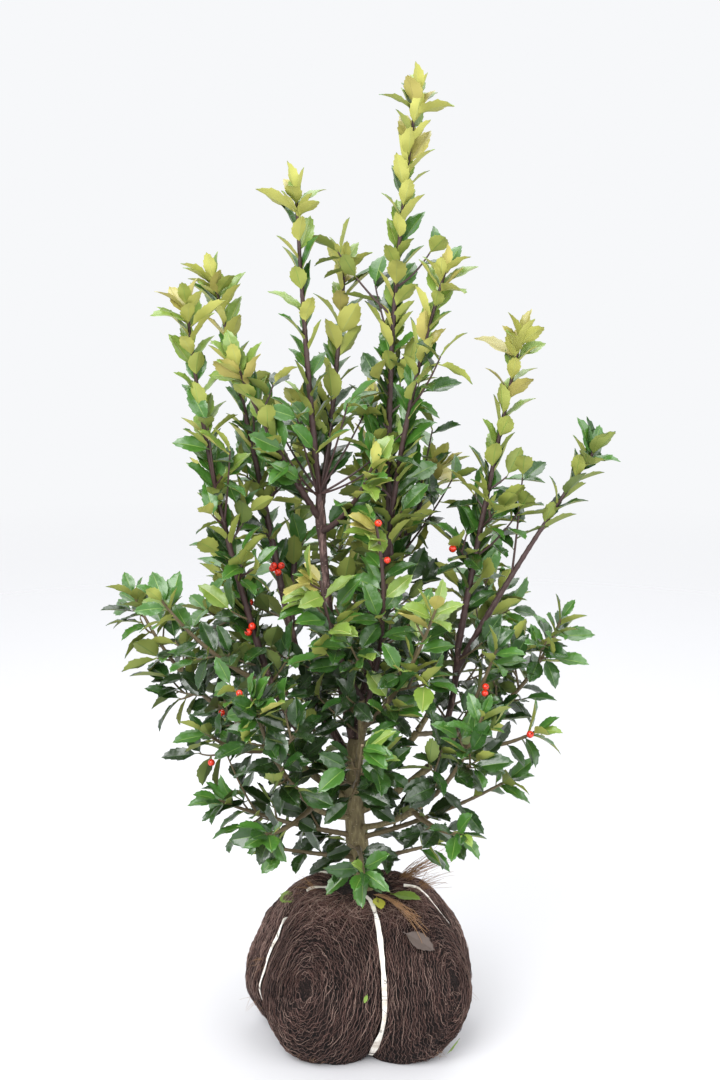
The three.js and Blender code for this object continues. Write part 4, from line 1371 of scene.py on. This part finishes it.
def crown_fibres(count):
    """Strands that run down from the foot of the trunk."""
    azimuth = chance.uniform(0, 2 * math.pi, count)[:, None]
    start = chance.uniform(*CROWN_STARTS, count)[:, None]
    shares = start + chance.uniform(*CROWN_RUNS, count)[:, None] * steps
    waver = chance.normal(0, CROWN_WAVER, (count, 2))
    return shares, azimuth + waver[:, :1] * steps + waver[:, 1:] * np.sin(5 * steps)


def outward_from(places):
    """Directions from the middle of the ball."""
    outward = places - FIBRE_CENTRE
    return outward / np.linalg.norm(outward, axis=-1, keepdims=True)


def laid_on_ball(shares, azimuths, lift):
    """Places a little above the wrap, its lumps counted in."""
    lines = ball_place(np.clip(shares, *BALL_SHARES), azimuths)
    lumps = np.array([lump(place, SOIL, COIR) for place in lines.reshape(-1, 3)]).reshape(lines.shape[:-1])
    return lines + outward_from(lines) * (lumps + lift)[..., None]


for name, ring_count, crown_count, colour, loft in FIBRE_KINDS:
    parts = zip(ring_fibres(ring_count), crown_fibres(crown_count))
    shares, azimuths = (np.concatenate(pair) for pair in parts)
    lift = FIBRE_LIFT + loft * chance.uniform(*FIBRE_LOFTS, len(shares))[:, None] * np.sin(math.pi * steps)
    lines = laid_on_ball(shares, azimuths, lift)
    lines = lines[lines[:, :, 2].min(axis=1) > LOWEST_FIBRE]
    heap = Heap()
    width = FIBRE_RADIUS * chance.uniform(*FIBRE_WIDTHS, len(lines))[:, None] * (1 - 0.5 * steps ** 4)
    tubes(heap, lines, width, FIBRE_SIDES)
    fibre_piece(heap, name, f"{name}_finish", colour)

# %% [markdown]
# The net of the wrap
#
# A thin net of yarn holds the coir together, and its mesh shows as zigzag rings round each lobe. It could
# be a pattern in the finish, but a yarn catches light on its side, so each ring is one fine tube that
# swings in and out and follows the lumps of the ball.

# %% Zigzag yarns in rings round each lobe
YARN_PITCH = 0.043
YARN_FROM, YARN_TO = 0.10, 1.34
YARN_TOOTH = 0.0078
YARN_SWING = 0.0105
YARN_RADIUS = 0.00030
YARN_LIFT = 0.0009
YARN_TOP = 0.06
LOBE_RIM = 0.97
SHORTEST_RUN = 6
net_heap = Heap()
for lobe in range(BALL_LOBES):
    for row, radius in enumerate(np.arange(YARN_FROM, YARN_TO, YARN_PITCH)):
        teeth = max(5, round(2 * math.pi * radius * LOBE_SIZE / YARN_TOOTH))
        turn = np.linspace(0, 2 * math.pi, 4 * teeth + 1)
        ring = radius + YARN_SWING * np.sin(teeth * turn + math.pi * row)
        ring += 0.02 * np.sin(2 * turn + 1.7 * lobe) + 0.012 * np.sin(5 * turn + row)
        shares, azimuths = round_lobe(lobe, ring, turn)
        line = laid_on_ball(shares, azimuths, YARN_LIFT)
        on_ball = (shares > YARN_TOP) & (line[:, 2] > LOWEST_FIBRE)
        shown = (np.abs(ring * np.cos(turn)) < LOBE_RIM) & on_ball
        for run in np.split(np.arange(len(turn)), np.flatnonzero(np.diff(shown)) + 1):
            if shown[run[0]] and len(run) > SHORTEST_RUN:
                tubes(net_heap, line[run][None], np.full((1, len(run)), YARN_RADIUS), FIBRE_SIDES)
fibre_piece(net_heap, "net_yarns", "net_yarn_finish", tone(104, 83, 77))

# %% [markdown]
# The frayed end of the wrap
#
# Behind the trunk the edge of the wrap is frayed into a tuft of coarse tan fibres, and a few loose strands
# of it lie down the right lobe. A few hairs stick out of the sides. They are tubes like the others, each
# bent by chance.

# %% Tufts and loose strands
TUFT_COLOUR = tone(150, 116, 84)
TUFT_POINTS = 8
FOOT_SPREAD = (0.008, 4)
TUFT_LENGTHS = (0.35, 1.1)
TUFT_SAGS = (-0.2, 0.9)
TUFT_LOW = 0.004
# Share and degrees of a tuft's foot, reach to its tip, spread, number of fibres and their radius
TUFTS = (
    (0.060, 24, (0.050, 0.012, 0.026), 0.016, 70, 0.00028),
    (0.110, 6, (0.030, 0.004, 0.014), 0.012, 26, 0.00024),
    (0.070, 196, (-0.022, 0.006, 0.014), 0.012, 22, 0.00022),
    (0.400, 188, (-0.014, 0.000, -0.004), 0.010, 9, 0.00016),
    (0.560, 183, (-0.013, 0.000, -0.012), 0.009, 9, 0.00016),
    (0.500, -10, (0.012, -0.004, -0.014), 0.010, 10, 0.00016),
    (0.640, -118, (-0.002, -0.010, -0.002), 0.008, 9, 0.00016),
    (0.640, -44, (0.004, -0.010, -0.002), 0.008, 9, 0.00016),
)
LOOSE_STRANDS = 11
LOOSE_FROM, LOOSE_TO = (0.020, -62), (0.215, -49)
LOOSE_TURNS = 3.2
LOOSE_LIFT, LOOSE_LOFT = 0.0036, 0.006
LOOSE_RADIUS = 0.00050
tuft_steps = np.linspace(0, 1, TUFT_POINTS)[:, None]
tuft_heap = Heap()
for share, degrees, reach, spread, count, thick in TUFTS:
    for fibre in range(count):
        down = share + chance.normal(0, FOOT_SPREAD[0])
        foot = ball_place(down, math.radians(degrees + chance.normal(0, FOOT_SPREAD[1])))
        tip = foot + np.array(reach) * chance.uniform(*TUFT_LENGTHS) + chance.normal(0, spread * 0.5, 3)
        tip[2] = max(tip[2], TUFT_LOW)
        sag = np.array((0, 0, chance.uniform(*TUFT_SAGS) * spread * 0.5))
        line = Bow(foot, tip, sag).points(TUFT_POINTS)
        tubes(tuft_heap, line[None], thick * (1.15 - 0.6 * tuft_steps.T), THICK_FIBRE_SIDES)
for fibre in range(LOOSE_STRANDS):
    down = tuft_steps[:, 0]
    shares = mix(LOOSE_FROM[0], LOOSE_TO[0] + chance.normal(0, 0.03), down)
    degrees = mix(LOOSE_FROM[1], LOOSE_TO[1] + chance.normal(0, 3.4), down) + chance.normal(0, 1.6)
    degrees += chance.normal(0, LOOSE_TURNS) * np.sin(6 * down + chance.uniform(0, 6))
    line = ball_place(shares, np.radians(degrees))
    lift = LOOSE_LIFT + chance.uniform(0, LOOSE_LOFT) * np.sin(math.pi * tuft_steps)
    line = line + outward_from(line) * lift
    tubes(tuft_heap, line[None], LOOSE_RADIUS * (1.2 - 0.6 * tuft_steps.T), THICK_FIBRE_SIDES)
fibre_piece(tuft_heap, "tan_fibres", "tan_fibre_finish", TUFT_COLOUR)

# %% [markdown]
# Fallen leaves
#
# A yellow leaf, a yellow-green one and a dry grey-brown one lie on the front of the ball, and a few small
# green ones are caught on its front, its left side and its back. They are leaves like the others in
# finishes of their own.

# %% Leaves caught on the ball
FALLEN_KINDS = {
    "yellow": (tone(176, 178, 62), tone(186, 186, 84)),
    "green": (tone(104, 132, 44), tone(130, 150, 66)),
    "dry": (tone(84, 72, 66), tone(98, 86, 78)),
}
# Kind, root's share and azimuth, tip's share and azimuth, lift of the tip, form
FALLEN_LEAVES = (
    ("yellow", (0.034, -66), (0.132, -72), 0.006, 2),
    ("green", (0.032, -44), (0.120, -35), 0.008, 0),
    ("dry", (0.214, -61), (0.290, -47), 0.004, 0),
    ("green", (0.200, -192), (0.165, -166), 0.003, 1),
    ("green", (0.600, -34), (0.640, -42), 0.002, 3),
    ("green", (0.395, -86), (0.420, -88), 0.002, 3),
    ("green", (0.160, 120), (0.240, 112), 0.003, 1),
)
FALLEN_CURL = 0.5
FALLEN_LIFT = 0.004
fallen_heap = Heap()
for kind, root, tip, rise, form in FALLEN_LEAVES:
    foot, end = (ball_place(share, math.radians(degrees)) for share, degrees in (root, tip))
    upper = unit((foot + end) / 2 - FIBRE_CENTRE)
    foot = foot + upper * FALLEN_LIFT
    along = end + upper * (FALLEN_LIFT + rise) - foot
    size = float(np.linalg.norm(along))
    along = along / size
    across = unit(np.cross(upper, along))
    corners, groups = leaf_templates[form]
    first = 2 * list(FALLEN_KINDS).index(kind)
    x, y, z = corners.T * size * np.array((1, 1, FALLEN_CURL))[:, None]
    placed = foot + np.outer(x, along) + np.outer(y, across) + np.outer(z, np.cross(along, across))
    fallen_heap.add(placed, [(faces, first + (finish == UNDER_FINISH)) for faces, finish in groups])
fallen_finishes = []
for kind, (upper, under) in FALLEN_KINDS.items():
    for side, colour in (("upper", upper), ("under", under)):
        fallen = Finish(f"fallen_{kind}_{side}")
        patch = fallen.cloud(fallen.object_place(), 190, 4, 0.6)
        base = fallen.mix(patch, shade(colour, 0.62), shade(colour, 1.3))
        fallen_finishes.append(fallen.surface(Base_Color=base, Roughness=0.5 + 0.2 * patch,
                                              Normal=fallen.bump(patch, 0.0006, 0.6)))
settle(fallen_heap.piece("fallen_leaves", fallen_finishes, LEAF_SHARP), ["root_ball"])

# %% [markdown]
# Straps
#
# Five white woven straps lie in the grooves, from the foot of the trunk down to near the ground. Each is a
# flat ribbon, a few millimetres wide, slightly creased and twisted by the pull. A grid is bent along the
# groove's own line and then given its thickness, so the creases are real shape.

# %% Ribbons in the grooves
STRAP_ENDS = ((0.020, 0.655), (0.050, 0.655), (0.050, 0.655), (0.050, 0.655), (0.018, 0.600))
# The strap on the left runs under the wrap between two shares of the way down
STRAP_HIDDEN = (0.095, 0.235)
STRAP_TAPER = 0.09
HIDDEN_STRAP = 4
HIDDEN_DEPTH = 0.006
# The widths of each strap at five places along it
STRAP_PLACES = (0, 0.3, 0.8, 0.92, 1)
STRAP_WIDTHS = ((0.0048, 0.0056, 0.0056, 0.0086, 0.0060), (0.0050, 0.0054, 0.0050, 0.0060, 0.0050),
                (0.0048, 0.0056, 0.0056, 0.0070, 0.0060), (0.0048, 0.0056, 0.0056, 0.0070, 0.0060),
                (0.0086, 0.0050, 0.0036, 0.0044, 0.0040))
STRAP_THICK = 0.0005
STRAP_ROWS, STRAP_LINES = 90, 6
STRAP_SHARP = 50
PULL, FINE_PULL = 0.10, 0.05
CREASE, TWIST = 0.0007, 0.22
STRAP_SWAY = 0.0012
STRAP_BRIDGE = 0.065
STRAP_LIFT = 0.0015

strap = Finish("white_strap")
weave = strap.node("ShaderNodeTexCoord", output="UV")
ribs = strap.node(
    "ShaderNodeTexWave", {"bands_direction": "X"}, {"Vector": weave, "Scale": 5.0, "Distortion": 0.6})
dirt = strap.cloud(strap.object_place(), 60, 4, 0.6)
soiled = strap.ramp(dirt, (0.50, BLACK), (0.74, WHITE))
base = strap.mix(soiled, tone(234, 230, 222), tone(176, 162, 146))
strap_material = strap.surface(
    Base_Color=base, Roughness=0.5 + 0.2 * dirt, Normal=strap.bump(ribs * 0.6 + dirt, 0.0003, 0.7))


def strap_frame(index, run):
    """Middle, across and out of a strap at a share of its length."""
    share = mix(*STRAP_ENDS[index], run)
    azimuth = math.radians(GROOVES[index]) + groove_sway(share)
    edges = [ball_place(share, azimuth + sign * STRAP_BRIDGE) for sign in (-1, 1)]
    ahead = [ball_place(share + step, azimuth + groove_sway(share + step) - groove_sway(share))
             for step in (-0.01, 0.01)]
    across = unit(edges[1] - edges[0])
    out = unit(np.cross(unit(ahead[1] - ahead[0]), across))
    middle = (edges[0] + edges[1]) / 2
    lift = lump(middle, SOIL)
    if index == HIDDEN_STRAP and STRAP_HIDDEN[0] < share < STRAP_HIDDEN[1]:
        place = (share - STRAP_HIDDEN[0]) / (STRAP_HIDDEN[1] - STRAP_HIDDEN[0])
        lift -= HIDDEN_DEPTH * min(1, 4 * math.sin(math.pi * place))
    return middle + out * lift, across, out


for index in range(BALL_LOBES):
    ribbon = bmesh.new()
    verts = bmesh.ops.create_grid(
        ribbon, x_segments=STRAP_ROWS, y_segments=STRAP_LINES, size=0.5, calc_uvs=True)["verts"]
    phase = 2.1 * index
    for vert in verts:
        run = vert.co.x + 0.5
        side = vert.co.y * 2
        middle, across, out = strap_frame(index, run)
        width = np.interp(run, STRAP_PLACES, STRAP_WIDTHS[index])
        if index == HIDDEN_STRAP:
            width *= min(1, 0.3 + abs(mix(*STRAP_ENDS[index], run) - STRAP_HIDDEN[1]) / STRAP_TAPER)
        width *= 1 + PULL * math.sin(23 * run + phase) + FINE_PULL * math.sin(61 * run + phase)
        crease = CREASE * math.sin(9 * side + 5 * math.sin(8 * run + phase)) * math.sin(31 * run + phase)
        twist = TWIST * math.sin(7 * run + phase) * side * width / 2
        sway = STRAP_SWAY * math.sin(9.5 * run + phase)
        vert.co = Vector(middle + across * (side * width / 2 + sway) + out * (STRAP_LIFT + crease + twist))
    bmesh.ops.recalc_face_normals(ribbon, faces=ribbon.faces)
    bmesh.ops.solidify(ribbon, geom=ribbon.faces[:], thickness=STRAP_THICK)
    bmesh.ops.recalc_face_normals(ribbon, faces=ribbon.faces)
    strap_piece = shell_object(f"strap_{index + 1}", ribbon, [strap_material], STRAP_SHARP)
    settle(strap_piece, [f"band_{index + 1}"])
print("A strap is about", round(STRAP_WIDTHS[0][1] * 1000, 1), "mm wide")

# %% [markdown]
# Fibres over the straps
#
# Here and there a dark fibre of the wrap lies across a strap or curls on it. Without them the straps look
# pasted on.

# %% Dark curls on the straps
CURL_POINTS = 12
CURLS_PER_STRAP, ROUND_CURLS = 9, 2
CURL_RUNS = (0.12, 0.97)
CURL_SIZES, CURL_REACHES = (0.0011, 0.0018), (0.003, 0.008)
CURL_LIFT = 0.0012
CURL_RADII = (0.0002, 0.00042)
curl_heap = Heap()
curl_steps = np.linspace(0, 1, CURL_POINTS)
for index in range(BALL_LOBES):
    for curl in range(CURLS_PER_STRAP):
        middle, across, out = strap_frame(index, chance.uniform(*CURL_RUNS))
        down = np.cross(across, out)
        if curl < ROUND_CURLS:
            turn = 5.4 * curl_steps + chance.uniform(0, 6)
            size = chance.uniform(*CURL_SIZES)
            line = middle + size * (np.outer(np.cos(turn), across) + np.outer(np.sin(turn) * 1.2, down))
        else:
            reach = chance.uniform(*CURL_REACHES)
            lean = chance.normal(0, 0.5)
            line = middle + np.outer((curl_steps - 0.5) * 2 * reach, unit(across + down * lean))
            line += np.outer(chance.normal(0, 0.0008) * np.sin(5 * curl_steps), down)
        line = line + out * (STRAP_LIFT + CURL_LIFT)
        radii = np.full((1, CURL_POINTS), chance.uniform(*CURL_RADII))
        tubes(curl_heap, line[None], radii, THICK_FIBRE_SIDES)
fibre_piece(curl_heap, "curled_fibres", "curled_fibre_finish", tone(52, 40, 34))

# %% [markdown]
# Berries
#
# The berries are red-orange, 8 to 9 mm across, on short stalks in the leaf axils, singly or up to four
# together. Each has a small dark scar at its end. They are dealt to the leaf axils nearest to named places
# on the front of the crown, so that each one hangs from a real twig.

# %% Berries by the twigs
BERRY_RADIUS = 0.0043
BERRY_SIZES = (0.9, 1.08)
BERRY_STALK = 0.005
BERRY_SHARP = 60
STALK_BOW = (0, 0, 0.0006)
STALK_POINTS = 5
STALK_RADIUS = 0.0008
FRONT_PULL = 0.04
BERRY_SLACK = 0.006
berry_skin = Finish("berry_skin")
patch = berry_skin.cloud(berry_skin.object_place(), 120, 2)
base = berry_skin.mix(patch, tone(196, 26, 14), tone(238, 62, 30))
berry_skin = berry_skin.surface(Base_Color=base, Roughness=0.24, Coat_Weight=0.5, Coat_Roughness=0.12)
berry_scar = Finish("berry_scar").surface(Base_Color=tone(52, 28, 20), Roughness=0.8)
berry_stalk = Finish("berry_stalk").surface(Base_Color=tone(104, 96, 50), Roughness=0.6)


def berry_template():
    shell = bmesh.new()
    bmesh.ops.create_icosphere(shell, subdivisions=3, radius=1.0)
    for face in shell.faces:
        face.material_index = 1 if face.calc_center_median().z < -0.965 else 0
    for vert in shell.verts:
        dent = 0.10 * math.exp(-((1 + vert.co.z) / 0.03) ** 2)
        vert.co *= 1 - dent
    return template_of(shell)


berry_corners, berry_groups = berry_template()
berry_heap = Heap()
axil_roots = np.array([root for root, _ in axils])
axil_places = seen(axil_roots)
for (x, z, cluster), wanted in zip(BERRY_PLACES, berry_views):
    away = np.hypot(*(axil_places[:, :2] - wanted[:2]).T)
    nearest = int(np.argmin(np.maximum(away, BERRY_SLACK) + FRONT_PULL * axil_places[:, 2]))
    root, direction = axils[nearest]
    axil_places[nearest, 2] = math.inf
    for berry in range(cluster):
        turn = 2.4 * berry + x * 40
        lean = unit(direction * 0.4 + np.array((0.8 * math.cos(turn), -1.0, 0.5 * math.sin(turn) - 0.25)))
        centre = root + lean * (BERRY_STALK + BERRY_RADIUS)
        side, other = square_to(lean)
        size = BERRY_RADIUS * chance.uniform(*BERRY_SIZES)
        berry_heap.add(centre + berry_corners @ np.stack([side, other, -lean]) * size, berry_groups)
        stalk = Bow(root, centre - lean * size * 0.9, STALK_BOW).points(STALK_POINTS)
        tubes(berry_heap, stalk[None], np.full((1, STALK_POINTS), STALK_RADIUS), 6, 2)
berry_piece = berry_heap.piece("berries", [berry_skin, berry_scar, berry_stalk], BERRY_SHARP)
settle(berry_piece, MASS_NODES)
print(sum(cluster for *_, cluster in BERRY_PLACES), "berries")

# %% [markdown]
# Floor, light and camera
#
# The plant stands on a plain pale floor in soft studio light: a large panel above and to the left, a weaker
# one to the right, and a bright surround. The camera looks slightly down from the height of the plant's
# top.

# %% Floor
FLOOR_REACH = 3.4
FLOOR_FADE = (0.16, 0.92)
pale = Finish("pale_floor")
away = pale.node("ShaderNodeVectorMath", {"operation": "LENGTH"}, {0: pale.object_place()}, output="Value")
fade = pale.ramp(away * (1 / FLOOR_REACH), (FLOOR_FADE[0], WHITE), (FLOOR_FADE[1], BLACK))
floor_finish = pale.surface(Base_Color=tone(204, 204, 207), Roughness=0.7, Alpha=fade)
floor_shape = bmesh.new()
bmesh.ops.create_grid(floor_shape, x_segments=1, y_segments=1, size=FLOOR_REACH)
floor = shell_object("floor", floor_shape, [floor_finish])

# %% Lights and surround
def panel(name, place, aim, size, power):
    """A square soft light that faces a point."""
    light = bpy.data.lights.new(name, "AREA")
    light.size = size
    light.energy = power
    made = scene_object(name, light)
    made.location = place
    made.rotation_euler = (Vector(aim) - Vector(place)).to_track_quat("-Z", "Y").to_euler()


panel("key_panel", (-1.3, -2.1, 2.5), (0, 0, 0.5), 2.4, 128)
panel("fill_panel", (1.9, -1.7, 1.7), (0, 0, 0.5), 2.4, 52)
panel("top_panel", (0.2, 0.7, 2.8), (0, 0, 0.4), 2.2, 46)
surround = bpy.data.worlds.new("surround")
surround.use_nodes = True
surround.node_tree.nodes["Background"].inputs["Color"].default_value = tone(247, 248, 250)
surround.node_tree.nodes["Background"].inputs["Strength"].default_value = 1.0
bpy.context.scene.world = surround
bpy.context.scene.view_settings.view_transform = "Standard"

# %% Camera
CAMERA_LENS = 63.2
camera_data = bpy.data.cameras.new("camera")
camera_data.lens = CAMERA_LENS
camera_data.sensor_width = 36
camera = scene_object("camera", camera_data)
camera.location = CAMERA_PLACE
camera.rotation_euler = (math.pi / 2 - CAMERA_PITCH, 0, 0)
bpy.context.scene.camera = camera
